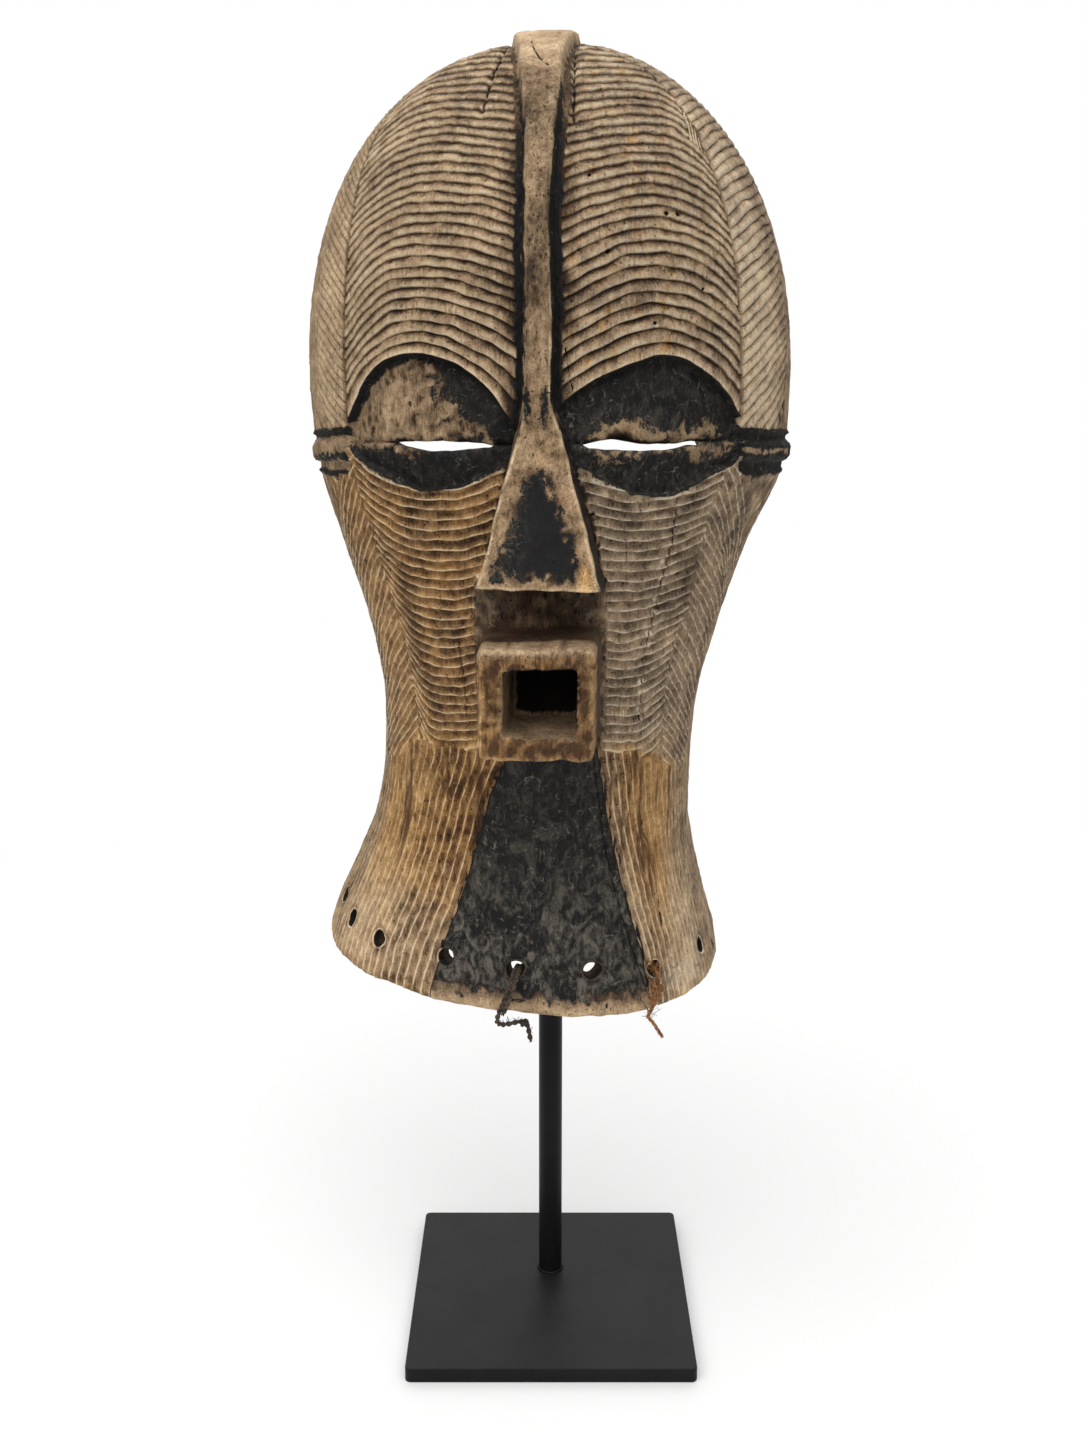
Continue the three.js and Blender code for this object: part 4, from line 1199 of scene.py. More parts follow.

# The eyes: black lids, worn bare in patches, that swell towards the slit and are undercut at the arch, with
# painted shade under the arch and a painted shadow line on from each end of the slit
LID_DEPTH, LID_SWELL = -5.8, 4.3
LOWER_LID_DEPTH, LOWER_LID_FALL, LOWER_LID_SWELL = -1.4, 1.8, 1.0
WORN_PATCHES = (  # softness of the border, how bare the wood is, and the outline
    (2.5, 0.85, [(21, 480), (27, 487), (38, 491), (49, 488), (60, 485), (66, 490), (69, 485), (76, 491),
                 (84, 484), (78, 480)]),
    (2, 0.75, [(21, 478.5), (30, 470.5), (38, 473), (48, 476), (62, 474.5), (78, 478), (70, 480.5),
               (44, 478)]),
    (1.5, 0.6, [(-85, 479.5), (-72, 480), (-60, 477.5), (-52, 473), (-60, 473), (-74, 477)]),
    (1.5, 0.72, [(62, 476.5), (70, 471.5), (80, 472), (90, 477), (91, 480), (80, 478), (70, 476)]),
)
WORN_LID = [(-95, 479), (-92, 493), (-84, 506), (-74, 516), (-60, 518), (-50, 514), (-45, 508), (-46, 500),
            (-37, 497), (-39, 490), (-30, 488), (-24, 484), (-22, 480)]
BITE = (36.8, 481.3, 7.2, 4.3)  # a bite out of the right upper lid, just over the slit
eye = field == EYE
arch = arch_height(reach, side)
floor = lid_floor(reach, side)
slit = np.interp(x, *np.transpose(SLIT_LINE))
lid_end = np.sin(np.pi * np.clip((reach - EYE_INNER) / (EYE_OUTER - EYE_INNER), 0, 1)) ** 0.5
upper = z > slit
above_slit = (z - slit) / np.maximum(arch - slit, 1)
rise = np.clip(np.where(upper, above_slit, (slit - z) / np.maximum(slit - floor, 1)), 0, 1)
lid_x = (np.arange(-EYE_OUTER, -EYE_INNER, 1.0), np.arange(EYE_INNER, EYE_OUTER, 1.0))
eye_edges = [np.stack([line_x, edge(np.abs(line_x), np.sign(line_x))], -1)
             for edge in (arch_height, lid_floor) for line_x in lid_x]
from_edge = np.min([distance_to(line, x, z, 3.0) for line in eye_edges], axis=0)
upper_lid = LID_DEPTH + LID_SWELL * lid_end * (1 - rise ** 2.2)
lower_lid = LOWER_LID_DEPTH - LOWER_LID_FALL * rise + LOWER_LID_SWELL * np.sin(np.pi * rise) * lid_end
slit_ends = {s: sorted(abs(end[0]) for end in SLIT_HOLE[s]) for s in (-1, 1)}
past_slit = by_side(side, *(np.maximum(ends[0] - reach, reach - ends[-1]) for ends in slit_ends.values()))
slit_cut = -2.4 * np.clip(1 - np.abs(z - slit) / 1.1, 0, 1) * fade(past_slit, 26, -1)
push[eye] = (np.where(upper, upper_lid, lower_lid) * np.clip(from_edge, 0, 1) + slit_cut)[eye]
worn = [patch(WORN_LID, 4) * fade(arch - z + 0.9 * ripple(u, v, 7, 15), 0.8, 3.4)]
worn += [bare * patch(outline, soft) for soft, bare, outline in WORN_PATCHES]
worn_lid = np.max(worn, axis=0)
scuff = 0.5 + 0.5 * ripple(u * 0.6, v * 1.6, 9, 13)
smudge = np.clip(ripple(u, v * 1.5, 6, 14) + 0.3, 0, 1) * fade(x, -85, -50)
paint[eye] = (1 - worn_lid + 0.5 * smudge * (worn_lid > 0.5) - 0.2 * scuff)[eye]
nick = np.clip(1.3 * ripple(u, v * 1.7, 3.4, 16) - 0.7, 0, 1)
# Painted shade darkens the lids just under the arch, where it is undercut.
dark[eye] = ((0.5 * smudge + nick) * (x < 0) + 0.6 * fade(arch - z, 2.5, 0.5))[eye]
stain[eye] = by_side(side, 0.12, 0.3)[eye]
light[eye] += (0.06 * (x < 0))[eye]
# Painted shadow: a near-black line runs on from each end of the slit, under the edge of the upper lid.
crack[eye] = (0.95 * np.clip(1.3 - np.abs(z - slit) / 0.7, 0, 1) * fade(past_slit, 14, 3))[eye]
beside_eye = np.isin(field, (CHEEK, FLANK)) & (from_edge < 2.2)
pale[beside_eye] += (0.7 * fade(from_edge, 2.2, 0.8))[beside_eye]

# The temple bands: solid black lines with a ragged inner edge on the right, and three worn ones on the left
LEFT_BANDS = ((484.4, 1.0, 2.0), (473.0, 2.6, 1.5), (466.0, 0.5, 1.1))  # height, swing and half width
band = field == BAND
height = band_height(x, z)
push[band] = (np.interp(height, *np.transpose(BAND_SHAPE)) * np.clip(hand, 0.6, 1.3))[band]
jag = np.abs(((plain[:, 1] * 0.7 + reach * 0.4) / 5.5 + 0.3 * ripple(u, v, 9, 12)) % 1 * 2 - 1)
low_black = fade(height, 464.4, 465.8) * fade(height, 476.5 - 1.4 * jag, 474.7 - 1.4 * jag)
high_black = fade(height, 476.0 + 1.6 * jag, 477.6 + 1.6 * jag) * fade(height, 487.2, 486)
worn_black = np.max([fade(np.abs(height - middle - swing * (jag - 0.5)), half + 0.7, half - 0.7)
                     for middle, swing, half in LEFT_BANDS], axis=0)
paint[band] = by_side(side, worn_black, np.maximum(low_black, high_black))[band]

# The crest and the nose: bare wood with rubbed edges and painted highlights along them, a black front of the
# nose with painted shade on its side walls, and a black line each side
NOSE_BLACK = [(-3, 465), (1, 471), (6, 466), (11, 453), (15.5, 440), (19.5, 428), (18, 424.5), (8, 427),
              (-16.5, 425), (-15.5, 431), (-9.5, 443), (-6.5, 453)]
NOSE_CHIP = [(20.5, 431), (22.8, 430), (24.2, 421), (19.5, 422), (21, 426)]
BRIDGE_MARKS = ([(-6.2, 491), (-3.4, 488), (-2.8, 500), (-4.6, 507), (-6.0, 503)],
                [(1.6, 489), (4.6, 487), (5.0, 499), (3.4, 507), (1.4, 503)])
ridge = field == RIDGE
foot_gap = distance_to(ridge_foot, x, v, 14.0)
climb = np.where(ridge, np.clip(foot_gap / RIDGE_WALL, 0, 1), 0)
worn_edge = np.interp(foot_gap, (1.5, 2.25, 3.15, 5), (0.9, 0.25, 0, 0))
push[ridge] = (CREST_RISE * climb - worn_edge * climb)[ridge]
paint[ridge] = (1.15 * patch(NOSE_BLACK, 5) - 0.3 * np.maximum(ripple(u, v, 4.5, 24), 0))[ridge]
streak = 0.5 + 0.5 * ripple(u * 3.2, v * 0.16, 9, 21)
crest_black = np.interp(v, (-40, -12, 8, 30, 110, 134, 150), (0, 0.5, 0.45, 1, 0.9, 0.3, 0)) * streak
dark[ridge] += (0.62 * np.clip(crest_black, 0, 1) ** 1.4)[ridge]
at_foot = np.where(x > 0, 0.8, 0.5) * fade(foot_gap, 2.4, 1.2) * fade(v, -30, -8) * fade(v, 150, 110)
paint[ridge] = np.maximum(paint, 0.36 * crest_black + at_foot)[ridge]
for outline in BRIDGE_MARKS:
    paint[ridge] = np.maximum(paint, 0.85 * patch(outline, 2.0))[ridge]
# The crest lightens towards its top; below the brow a painted highlight lightens the ridge near its edges.
light[ridge] += (0.2 * fade(v, 128, 150) + 0.12 * np.clip(1 - foot_gap / 4, 0, 1) * (v < 20))[ridge]
# Painted highlights: pale lines along the ridge's edges, along the whole right edge up to the brow and along
# the left edge of the nose.
ridge_edge_highlight = np.where(x > 0, fade(v, 70, 20), fade(v, -8, -30))
ridge_edge_highlight *= np.clip(0.75 + 0.5 * ripple(u, v, 11, 26), 0.1, 1.2)
pale[ridge] += (np.interp(foot_gap, (1.4, 2.1, 3.2), (0.3, 1.0, 0)) * ridge_edge_highlight)[ridge]
dark[ridge] += (0.5 * np.clip(ripple(u * 1.3, v * 0.6, 8, 27), 0, 1) * fade(v, 80, 20))[ridge]
hue[ridge] += (0.14 * fade(v, 10, -20))[ridge]
hue[ridge] += (0.1 * fade(v, 128, 150))[ridge]
nose_chip = patch(NOSE_CHIP, 1.8) * ridge
hue += 0.7 * nose_chip
light += 0.5 * nose_chip
paint -= nose_chip
# Painted shade: the nose's steep side walls are darkened as shade, with black paint on the right one.
shaded_nose_side = ridge & (climb < 0.97) & (v < -18)
dark[shaded_nose_side], paint[shaded_nose_side] = 0.9, np.where(x > 0, 0.6, 0.1)[shaded_nose_side]
nose_paint = ridge & (paint > 0.5) & (v < -25)
dark[nose_paint] = (0.45 + 0.45 * fade(x, -10, 2))[nose_paint]
stain[nose_paint] = (0.34 * fade(x, 6, -8))[nose_paint]

channel = field == CHANNEL
high_up = fade(v, 62, 120)
ragged = 0.5 * ripple(u * 1.4, v * 0.5, 8, 22)
push[channel] = (-1.2 * fade(foot_gap, 3.0, 0.8))[channel]
channel_black = (1.0 - 0.75 * high_up) * fade(v, -34, -12) * fade(foot_gap + ragged, 3.3, 1.4)
paint[channel] = (channel_black + 0.1 * ragged)[channel]
dark[channel] = (1.0 - 0.5 * high_up)[channel]
light[channel] += (0.2 * high_up)[channel]
near_channel = brow & (foot_gap < 13)
dirt = fade(foot_gap, 12.0, 3.4) * (0.85 + 0.5 * ripple(u, v * 0.5, 12, 23)) * (1 - 0.5 * high_up)
dark[near_channel] = np.maximum(dark, 0.25 * dirt)[near_channel] + (0.75 * dirt)[near_channel]
spread = 0.6 * fade(foot_gap, 6.0, 2.4) * (1 - high_up)
paint[near_channel] = (spread * (0.3 + 0.7 * np.clip(dark, 0, 1)))[near_channel]
push[near_channel] -= (0.45 * fade(foot_gap, 7, 4))[near_channel]

# The mouth block: brown wood with a lighter worn frame, its walls painted darker as shade, and a pocket
# painted near black as shadow, with a painted patch of light low and left
mouth = field == MOUTH
mouth_gap = distance_to(mouth_foot, x, z, 12.0)
mouth_climb = np.where(mouth, np.clip(mouth_gap / MOUTH_WALL, 0, 1), 0)
in_pocket = inside(pocket_edge, x, z)
pocket_gap = distance_to(pocket_edge, x, z, 12.0)
sink = np.where(in_pocket, np.clip(pocket_gap / POCKET_WALL, 0, 1), 0)
mouth_stain = 0.74 + 0.15 * fade(z, 366, 350) + 0.3 * ripple(u, v, 9, 33) + 0.28 * ripple(u, v, 4, 34)
stain[mouth] = mouth_stain[mouth]
outer_frame = np.clip(1 - np.abs(mouth_gap - 2.3) / 2.0, 0, 1)
inner_frame = np.clip(1 - pocket_gap / 1.6, 0, 1) * ~in_pocket
frame_edge = np.maximum(outer_frame, 0.6 * inner_frame)
light[mouth] += (0.22 * frame_edge - 0.05 * fade(z, 390, 396))[mouth]
stain[mouth] -= (0.45 * frame_edge + 0.2 * fade(z, 390, 396))[mouth]
hue[mouth] -= (0.35 * fade(z, 391, 396))[mouth]
# Painted shade on the block's walls down to their foot.
shaded_box_wall = mouth & (mouth_climb < 0.62)
stain[shaded_box_wall], light[shaded_box_wall], hue[shaded_box_wall], paint[shaded_box_wall] = 0.8, 0.26, 0.45, 0.3
# Painted shadow: the pocket is near black inside.
stain[in_pocket], crack[in_pocket] = 1, 0.9
# Painted light: a patch low and left in the pocket is coloured as lit.
lit_pocket = in_pocket & ((x < -9.5) & (z < 388) | (z < 360.5))
crack[lit_pocket], stain[lit_pocket], light[lit_pocket], hue[lit_pocket] = 0.0, 0.4, 0.5, 0.4

# The ground under the nose, the black panel of the chin with its incised edges, and the bare rounded rim
RIM_ROUND = 4.0
INCISED = 0.9  # half width of the cut along the panel's edge
lip = field == LIP
push[lip] = (-0.5 + 0.2 * ripple(u, v, 11, 41))[lip]
stain[lip] = (0.6 + 0.3 * ripple(u, v, 8, 42))[lip]
light[lip] += (0.1 * ripple(u, v, 6, 43))[lip]
paint[lip] = (0.26 + 0.2 * ripple(u, v, 6, 44))[lip]
panel = field == CHIN_PANEL
edge_gap = np.abs(reach - panel_edge(z, side))
beneath = v - rim_v(u)  # height above the rim
ragged_foot = beneath + 2.2 * ripple(u, v, 7, 56)
paint[panel] = (0.95 * fade(ragged_foot, 5, 15) + 0.12 * ripple(u * 2, v * 0.5, 16, 51))[panel]
stain[panel] = ((0.32 + 1.05 * fade(beneath, 95, 20)) * fade(ragged_foot, 5, 13))[panel]
smear = 0.55 * np.clip(1.2 * ripple(u, v * 0.8, 5, 57), 0, 1) * fade(beneath, 2.5, 6)
paint[panel] = np.maximum(paint, smear)[panel]
spill = chin & (edge_gap < 3.4) & (beneath > 8)
ragged_spill = np.clip(0.3 + 0.8 * ripple(u * 1.6, v * 0.7, 6, 52), 0, 1)
paint[spill] = (fade(edge_gap, 3.4, 0.8) * ragged_spill)[spill]
incised = (z < 345) & (z > 206) & (edge_gap < INCISED)
push[incised] -= (1.1 * (1 - edge_gap / INCISED))[incised]
crack[incised] = (0.9 * (1 - edge_gap / INCISED))[incised]
rim_share = fade(beneath, 9, 2)
light += (0.76 - light) * rim_share * 0.85
hue += (0.8 - hue) * rim_share * 0.6
lift = np.clip(RIM_ROUND - beneath, 0, RIM_ROUND)
push -= RIM_ROUND - np.sqrt(RIM_ROUND ** 2 - lift ** 2)

# Stains, cracks, lost flakes, insect holes, the bitten lid and the worn rims of the lacing holes
CHEEK_STAINS = (  # strength and outline
    (0.75, [(-60, 430), (-71, 424), (-69, 398), (-60, 372), (-54, 350), (-46, 352), (-51, 378), (-58, 402)]),
    (0.7, [(60, 428), (74, 440), (78, 424), (70, 405), (62, 400)]),
)
CHIN_STAIN = [(46, 335), (50, 336), (52, 300), (60, 250), (66, 222), (58, 222), (50, 262), (45, 300)]
CHIN_GLOW = [(40, 336), (60, 336), (60, 290), (72, 222), (52, 222), (44, 290)]
for strength, outline in CHEEK_STAINS:
    stain += strength * patch(outline, 6)
stain += 0.6 * patch(CHIN_STAIN, 4) * (z < 338)
hue += 0.4 * patch(CHIN_GLOW, 5)
for (width, _), line in zip(CRACKS, crack_lines):
    cut = np.clip(1.1 - distance_to(line, x, z, 1.5) / (0.6 * width), 0, 1)
    push -= 1.5 * cut
    crack = np.maximum(crack, cut * np.clip(0.85 + 0.4 * ripple(u, v, 8, 55), 0.4, 1))
for flake_x, flake_z, radius in FLAKES:
    flake = np.clip(1.7 - np.hypot(x - flake_x, z - flake_z) / radius * 1.3, 0, 1)
    push -= 0.35 * flake
    pale += 1.4 * flake
    dark *= 1 - flake
for hole_x, hole_z, radius in INSECT_HOLES:
    cut = np.clip(1.6 - np.hypot(x - hole_x, z - hole_z) / radius * 1.2, 0, 1)
    push -= 1.8 * cut
    crack = np.maximum(crack, cut)
bite_x, bite_z, bite_width, bite_height = BITE
bite = np.clip(1 - ((x - bite_x) / bite_width) ** 2 - ((z - bite_z) / bite_height) ** 2, 0, 1) * upper
push -= 3.5 * bite
crack = np.maximum(crack, 0.8 * fade(bite, 0.1, 0.5) * fade(z, 484.6, 482.6))
paint -= bite
stain += 0.9 * fade(bite, 0, 0.2)
for loop in hole_loops[2:]:
    beside_hole = distance_to(loop, u, v, 2.5)
    push -= 0.7 * np.clip(1 - beside_hole / 1.2, 0, 1)
    crack = np.maximum(crack, fade(beside_hole, 0.5, 0.1))
    worn_ring = fade(np.abs(beside_hole - 0.8), 0.9, 0.2)
    pale += 0.9 * worn_ring
    paint -= 0.7 * worn_ring
    dark += 0.5 * fade(beside_hole, 2.5, 1.6) * (1 - worn_ring)
push += 0.16 * ripple(u, v, 7, 61) + 0.1 * ripple(u, v, 3, 62)

# The sheet in space. The nose and the mouth have flat fronts, so there the relief runs straight forward
NUDGE = 0.4
base = worked(u, v)
along_u = worked(u + NUDGE, v) - worked(u - NUDGE, v)
along_v = worked(u, v + NUDGE) - worked(u, v - NUDGE)
outward = np.cross(along_u, along_v)
outward /= np.maximum(np.linalg.norm(outward, axis=1), 1e-9)[:, None]
skin = base + push[:, None] * outward
nose_front = np.interp(z, *np.transpose(NOSE_FRONT)) + worn_edge + 0.5 * ripple(u, v, 22, 63)
on_nose = ridge & (v < NOSE_LEVEL)
skin[on_nose, 1] = (base[:, 1] + (nose_front - base[:, 1]) * climb)[on_nose]
worn_frame = np.interp(mouth_gap, (1.7, 2.55, 3.75), (1.3, 0.35, 0))
worn_frame += np.interp(pocket_gap, (0, 1.4), (1.0, 0))
mouth_front = MOUTH_FRONT + worn_frame + 0.35 * ripple(u, v, 18, 64)
mouth_y = base[:, 1] + (mouth_front - base[:, 1]) * mouth_climb
mouth_y += (POCKET_FLOOR - mouth_y) * sink
skin[mouth, 1] = mouth_y[mouth]

# The inner side, hollowed with an adze, and the walls of the rim, the slits and the holes between the two
INNER_STEP = 5.0
inner_loops_uv = [loop[:-1] for loop in [shell_edge] + hole_loops]
for number in (1, 2):  # the slits keep their width through the wall
    edge_x, _, edge_z = place(*inner_loops_uv[number].T).T
    width = half_width(edge_z, edge_x)
    inner_loops_uv[number] = chart(edge_x * width / (width - WALL), edge_z)
loop_starts = np.cumsum([0] + [len(loop) for loop in inner_loops_uv])
rings = [np.arange(*ends) for ends in zip(loop_starts[:-1], loop_starts[1:])]
inner_edges = np.concatenate([np.stack([ring, np.roll(ring, -1)], -1) for ring in rings]).tolist()
draw = np.random.default_rng(15)
grid_u, grid_v = np.meshgrid(*(np.arange(*ends, INNER_STEP) for ends in CHART_BOX))
grid_u = (grid_u + draw.uniform(-1.2, 1.2, grid_u.shape)).ravel()
grid_v = (grid_v + draw.uniform(-1.2, 1.2, grid_v.shape)).ravel()
clear = on_sheet(grid_u, grid_v, 3.0)
for loop in inner_loops_uv[1:3]:
    closed = np.concatenate([loop, loop[:1]])
    clear &= ~inside(closed, grid_u, grid_v) & (distance_to(closed, grid_u, grid_v, 3.0) > 2.0)
loose = np.stack([grid_u, grid_v], -1)[clear]
inner, inner_faces, inner_of = triangles(
    np.concatenate([*inner_loops_uv, loose]), inner_edges, inner_loops_uv)
inner_u, inner_v = inner.T
adze = 0.9 * np.abs(ripple(inner_u, inner_v * 0.6, 26, 71)) + 0.3 * ripple(inner_u, inner_v, 9, 72)
inner_loops = [inner_of[ring] for ring in rings]
free = np.ones(len(inner), bool)
free[np.concatenate(inner_loops)] = False
lining = worked(inner_u, inner_v, WALL)
lining[free, 1] -= np.clip(adze, 0, 1.8)[free]

shift = len(skin)
walls = []
for outer_loop, inner_loop in zip(outer_loops, inner_loops):
    after_outer, after_inner = np.roll(outer_loop, -1), np.roll(inner_loop, -1)
    walls.append(np.stack([outer_loop, after_outer, shift + after_inner], -1))
    walls.append(np.stack([outer_loop, shift + after_inner, shift + inner_loop], -1))
faces = np.concatenate([outer_faces, inner_faces[:, ::-1] + shift] + walls).astype(np.int32)
points = in_room(np.concatenate([skin, lining]))

mesh = bpy.data.meshes.new("carved_mask")
mesh.vertices.add(len(points))
mesh.vertices.foreach_set("co", points.ravel())
mesh.loops.add(faces.size)
mesh.loops.foreach_set("vertex_index", faces.ravel())
mesh.polygons.add(len(faces))
mesh.polygons.foreach_set("loop_start", np.arange(0, faces.size, 3, dtype=np.int32))
mesh.update(calc_edges=True)
mesh.validate()
INSIDE_TONE = {"hue": 0.75, "light": 0.3, "stain": 0.25}
marks = {"hue": hue, "light": light, "paint": paint, "stain": stain,
         "dark": dark, "pale": pale, "crack": crack}
for name, values in marks.items():
    lining_values = np.full(len(lining), INSIDE_TONE.get(name, 0.0))
    both_sides = np.concatenate([np.clip(values, 0, 1.5), lining_values])
    layer = mesh.attributes.new(name, "FLOAT", "POINT")
    layer.data.foreach_set("value", both_sides.astype(np.float32))
fine = bmesh.new()
fine.from_mesh(mesh)
bmesh.ops.recalc_face_normals(fine, faces=fine.faces)
fine.to_mesh(mesh)
fine.free()
mesh.polygons.foreach_set("use_smooth", [True] * len(mesh.polygons))
mask = bpy.data.objects.new("carved_mask", mesh)
bpy.context.scene.collection.objects.link(mask)


def draw_wood(finish):
    """Old carved wood: grain, scratches, dark cuts with painted shade, pale worn edges with painted
    highlights, brown stain and painted shade, near black in cracks and painted shadows, and black paint that
    has rubbed off.
    """
    mark = {name: finish.mark(name) for name in marks}
    grain = finish.noise(1.3, 5.0, 0.65, (1, 1, 0.14))
    speck = finish.noise(0.9, 4.0, 0.7)
    cloud = finish.noise(16.0, 3.0, 0.6)
    patchy = finish.noise(4.5, 4.0, 0.65)
    pits = finish.step(finish.noise(1.5, 2.0, 0.5, (1, 1, 0.7)), 0.66, 0.72)
    scratch = finish.step(finish.noise(0.8, 2.0, 0.5, (1, 1, 0.05)), 0.61, 0.68)
    nicks = finish.step(finish.noise(1.7, 2.0, 0.5), 0.68, 0.73)
    shade = mark["light"] + (grain - 0.5) * 0.6 + (speck - 0.5) * 0.7
    shade = shade + (cloud - 0.5) * 0.75 + (patchy - 0.5) * 0.7
    # Pale worn edges and painted highlights lighten the wood; dark cuts and painted shade darken it.
    shade = shade + mark["pale"] * 0.36 + nicks * 0.2 - mark["dark"] * 0.44 - scratch * 0.16 - pits * 0.34
    grey = finish.ramp(shade, (38, 30, 24), (78, 66, 53), (126, 109, 90), (168, 149, 125), (214, 198, 174))
    tan = finish.ramp(shade, (42, 29, 19), (88, 68, 48), (142, 118, 90), (184, 157, 124), (222, 199, 164))
    ochre = finish.ramp(shade, (36, 21, 10), (80, 53, 28), (134, 99, 60), (178, 139, 90), (220, 184, 132))
    warmth = mark["hue"] + (cloud - 0.5) * 0.5 - mark["pale"] * 0.22
    wood = finish.blend(finish.step(warmth, 0.1, 0.5), grey, tan)
    wood = finish.blend(finish.step(warmth, 0.5, 0.95), wood, ochre)
    # Dark brown for stain, and for the painted shade on the mouth's walls and in its pocket.
    stained_and_shaded = finish.step(mark["stain"] + (patchy - 0.5) * 0.8, 0.25, 1.1)
    wood = finish.blend(stained_and_shaded * 0.85, wood, tone(56, 33, 19))

    dust = finish.noise(2.2, 5.0, 0.7, (1, 1, 0.5))
    haze = finish.noise(9.0, 6.0, 0.62, (1, 1, 0.7), 1.4)
    scuffed = finish.step(haze + (dust - 0.5) * 0.6, 0.38, 0.82) * (mark["stain"] + 0.12)
    brushed = finish.step(finish.noise(1.4, 3.0, 0.6, (1, 1, 0.16), 2.0), 0.6, 0.72)
    swirl = finish.noise(8.0, 2.0, 0.5, (1, 1, 1), 1.2)
    scratched = finish.step(swirl, 0.482, 0.5) * finish.step(swirl, 0.518, 0.5)
    scratched = scratched * finish.step(patchy, 0.46, 0.6)
    black = finish.blend(scuffed, tone(18, 17, 16), tone(98, 92, 83))
    black = finish.blend(brushed * 0.22, black, tone(112, 106, 98))
    black = finish.blend(scratched * 0.42, black, tone(150, 143, 130))
    black = finish.blend(finish.step(dust, 0.66, 0.76), black, tone(92, 76, 58))
    black = finish.blend(mark["dark"], black, tone(8, 7, 7))

    wear = (patchy - 0.5) * 1.5 + (speck - 0.5) * 0.9 + (grain - 0.5) * 0.6
    cover = finish.step(mark["paint"] + wear, 0.3, 0.62)
    surface = finish.blend(cover, wood, black)
    # Near black in cracks, cuts and holes, and in the painted shadows of the slits and the mouth's pocket.
    surface = finish.blend(finish.step(mark["crack"], 0.3, 0.8), surface, tone(16, 11, 8))
    rough = grain * 0.5 + speck * 0.35 + patchy * 0.4 - cover * 0.15
    return {
        "Base Color": surface,
        "Roughness": 0.8 - cover * 0.12 + (speck - 0.5) * 0.16,
        "Specular IOR Level": 0.22,
        "Normal": finish.bump(rough - pits * 0.5 - scratch * 0.2, 0.6, 0.9),
    }


mesh.materials.append(new_material("carved_wood", draw_wood))
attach(mask, "root")
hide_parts("mask_crown", "mask_brow", "mask_face", "mask_chin")

# Stand: a square steel plate with a round rod, satin black. A bar and a saddle strip behind the mask are
# hidden from the front; they carry the chin and the crown. All edges are broken a little.
EDGE_BREAK = 0.7
SHARP = 35  # degrees between two faces from which their edge is broken
PLATE_TOP = 8.0


def draw_black_steel(painted_light_above=None):
    """Satin black paint on steel with faint brush marks, and a painted lighter top above a height in mm,
    standing for light from above.
    """
    def draw(finish):
        fleck = finish.noise(1.2, 4.0, 0.6)
        cloud = finish.noise(30.0, 2.0)
        shade = finish.step(fleck * 0.5 + cloud * 0.5, 0.3, 0.75)
        colour = finish.blend(shade, tone(12, 12, 13), tone(23, 23, 24))
        if painted_light_above:
            # Painted light: what lies above the height is coloured lighter, as if lit from above.
            height = finish.node("ShaderNodeSeparateXYZ", None, {"Vector": finish.place()}, "Z")
            painted_top_light = finish.step(height, (painted_light_above - 0.6) * MM, (painted_light_above - 0.1) * MM)
            colour = finish.blend(painted_top_light * (0.3 + shade * 0.3), colour, tone(42, 42, 43))
        return {
            "Base Color": colour,
            "Roughness": 0.42 + (fleck - 0.5) * 0.14,
            "Specular IOR Level": 0.13,
            "Normal": finish.bump(fleck, 0.12, 0.5),
        }
    return draw


def edges_broken(node, name, material):
    """A merged copy of a CAD solid with its sharp edges rounded off."""
    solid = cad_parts[node]
    shape = bmesh.new()
    shape.from_mesh(solid.data)
    shape.transform(solid.matrix_world)
    bmesh.ops.remove_doubles(shape, verts=shape.verts, dist=0.01 * MM)
    bmesh.ops.dissolve_limit(shape, angle_limit=math.radians(1), verts=shape.verts, edges=shape.edges)
    sharp = [edge for edge in shape.edges
             if edge.is_manifold and edge.calc_face_angle() > math.radians(SHARP)]
    bmesh.ops.bevel(shape, geom=sharp, offset=EDGE_BREAK * MM, segments=2, profile=0.5, affect="EDGES",
                    clamp_overlap=True)
    bmesh.ops.triangulate(shape, faces=shape.faces)
    bmesh.ops.recalc_face_normals(shape, faces=shape.faces)
    mesh = bpy.data.meshes.new(name)
    shape.to_mesh(mesh)
    shape.free()
    mesh.materials.append(material)
    piece = bpy.data.objects.new(name, mesh)
    bpy.context.scene.collection.objects.link(piece)
    return piece


steel = new_material("black_steel", draw_black_steel())
# The plate's top is painted lighter, as light from above would make it.
steel_with_painted_top_light = new_material("black_steel_painted_top_light", draw_black_steel(PLATE_TOP))
for node, slot, material in (
        ("base_plate", "black_plate", steel_with_painted_top_light), ("stand_post", "black_rod", steel),
        ("cradle_bar", "black_cradle", steel), ("cradle_saddle", "black_cradle", steel)):
    piece = edges_broken(node, node + "_finished", material)
    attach(piece, "root")
    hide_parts(node)

# Weld bead: the uneven ring of steel that joins the rod to the plate, painted over with them. It is laid in
# short overlapping drops, so it swells and thins all the way round.
ROD_RADIUS = 6.5
BEAD_RADIUS = 1.0
BEAD_RISE = 0.2  # height of the bead's middle above the plate
BEAD_POINTS = 72
around = np.linspace(0, 2 * np.pi, BEAD_POINTS, endpoint=False)
bead = np.stack([ROD_RADIUS * np.cos(around), ROD_BACK + ROD_RADIUS * np.sin(around),
                 np.full(BEAD_POINTS, PLATE_TOP + BEAD_RISE)], -1)
drops = 1 + 0.16 * np.sin(24 * around) * np.sin(3 * around)
bead_corners, bead_faces = closed_tube(bead, BEAD_RADIUS * drops)
weld = add_piece("weld_bead", bead_corners * MM, bead_faces, steel)
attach(weld, "root")

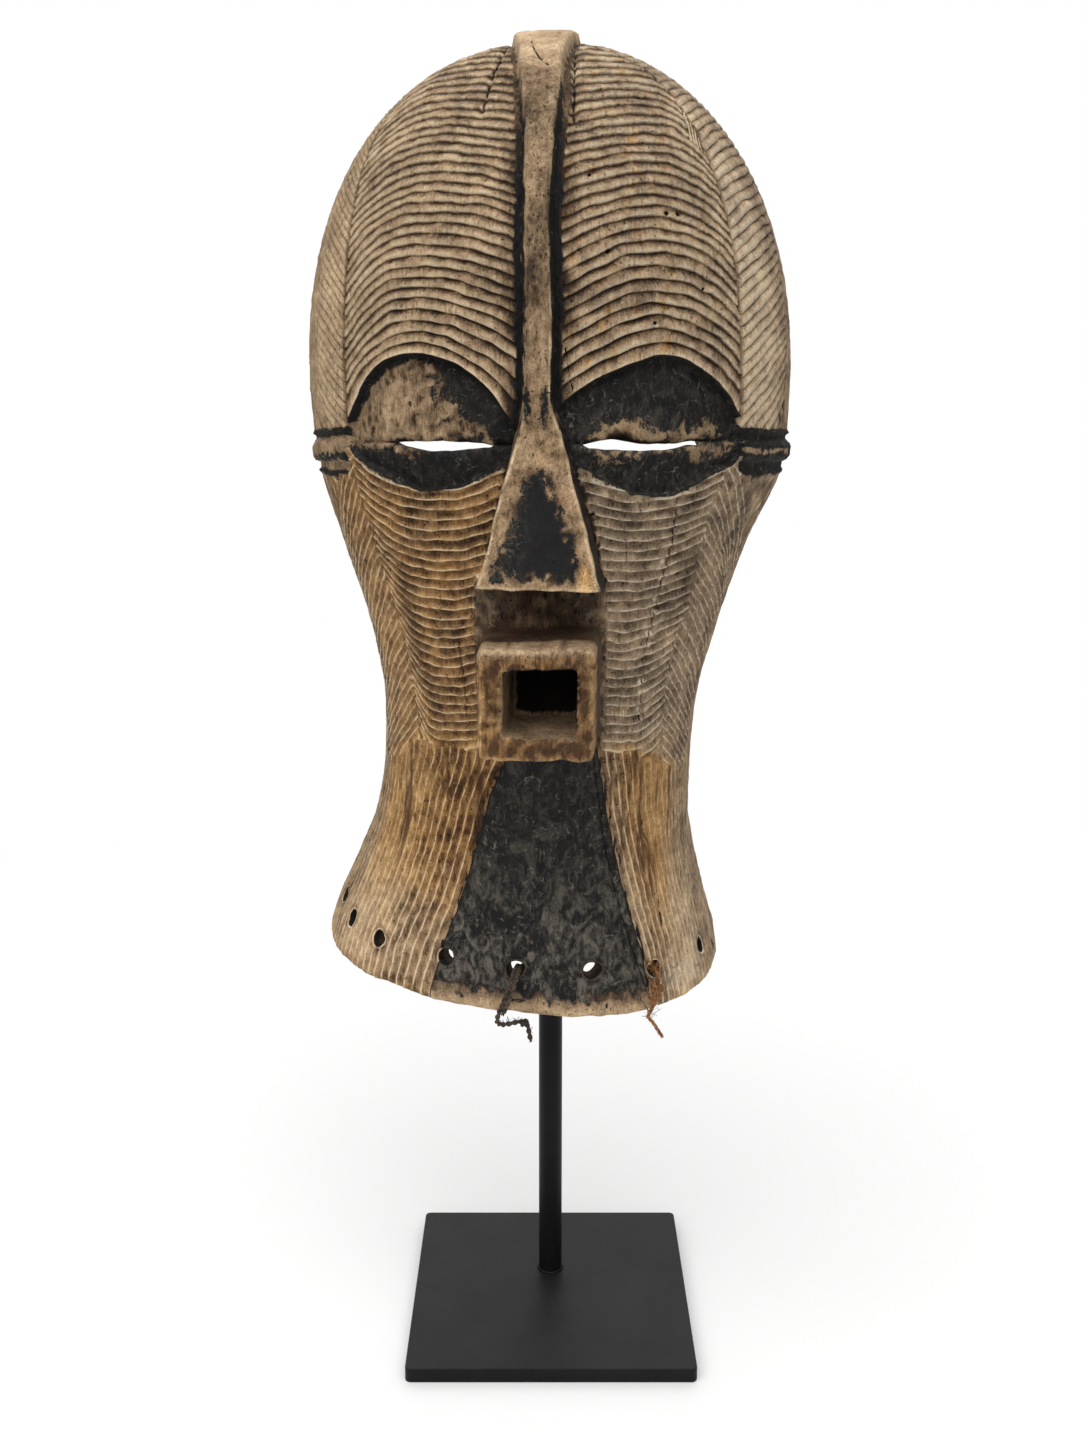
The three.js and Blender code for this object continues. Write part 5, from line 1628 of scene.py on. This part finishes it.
# Floor and light: a pale matt floor that ends out of sight in a white backdrop, a dim even fill from all
# round, and three broad soft lights. The key comes from the upper left, the others from above and behind.
FLOOR = 0.8  # half the floor's width, in metres
FILL_LIGHT = 0.3
floor_mesh = bpy.data.meshes.new("floor")
corners = [(-FLOOR, -FLOOR, 0), (FLOOR, -FLOOR, 0), (FLOOR, FLOOR, 0), (-FLOOR, FLOOR, 0)]
floor_mesh.from_pydata(corners, [], [(0, 1, 2, 3)])
floor_mesh.materials.append(new_material(
    "floor", lambda finish: {"Base Color": (0.82, 0.82, 0.82, 1), "Roughness": 0.9}))
floor_object = bpy.data.objects.new("floor", floor_mesh)
bpy.context.scene.collection.objects.link(floor_object)

world = bpy.data.worlds.new("studio")
world.use_nodes = True
world.node_tree.nodes.clear()
sky = Finish(world.node_tree)
backdrop = sky.node("ShaderNodeBackground", None, {"Color": (1, 1, 1, 1), "Strength": 1.0})
fill = sky.node("ShaderNodeBackground", None, {"Color": (1, 0.99, 0.98, 1), "Strength": FILL_LIGHT})
seen = sky.node("ShaderNodeLightPath", output="Is Camera Ray")
room_light = sky.node("ShaderNodeMixShader", None, {0: seen, 1: fill, 2: backdrop})
sky.node("ShaderNodeOutputWorld", None, {"Surface": room_light})
bpy.context.scene.world = world
bpy.context.scene.view_settings.view_transform = "Standard"


def soft_sun(name, azimuth, elevation, spread, strength):
    """A distant soft light. Azimuth 0 comes from the camera's side, 90 from its right."""
    data = bpy.data.lights.new(name, "SUN")
    data.angle = math.radians(spread)
    data.energy = strength
    lamp = bpy.data.objects.new(name, data)
    turn, rise = math.radians(azimuth), math.radians(elevation)
    towards = Vector((math.sin(turn) * math.cos(rise), -math.cos(turn) * math.cos(rise), math.sin(rise)))
    lamp.rotation_euler = towards.to_track_quat("Z", "Y").to_euler()
    bpy.context.scene.collection.objects.link(lamp)


soft_sun("key", -15, 54, 80, 2.2)
soft_sun("top", 0, 84, 110, 1.0)
soft_sun("back", 180, 38, 70, 0.8)
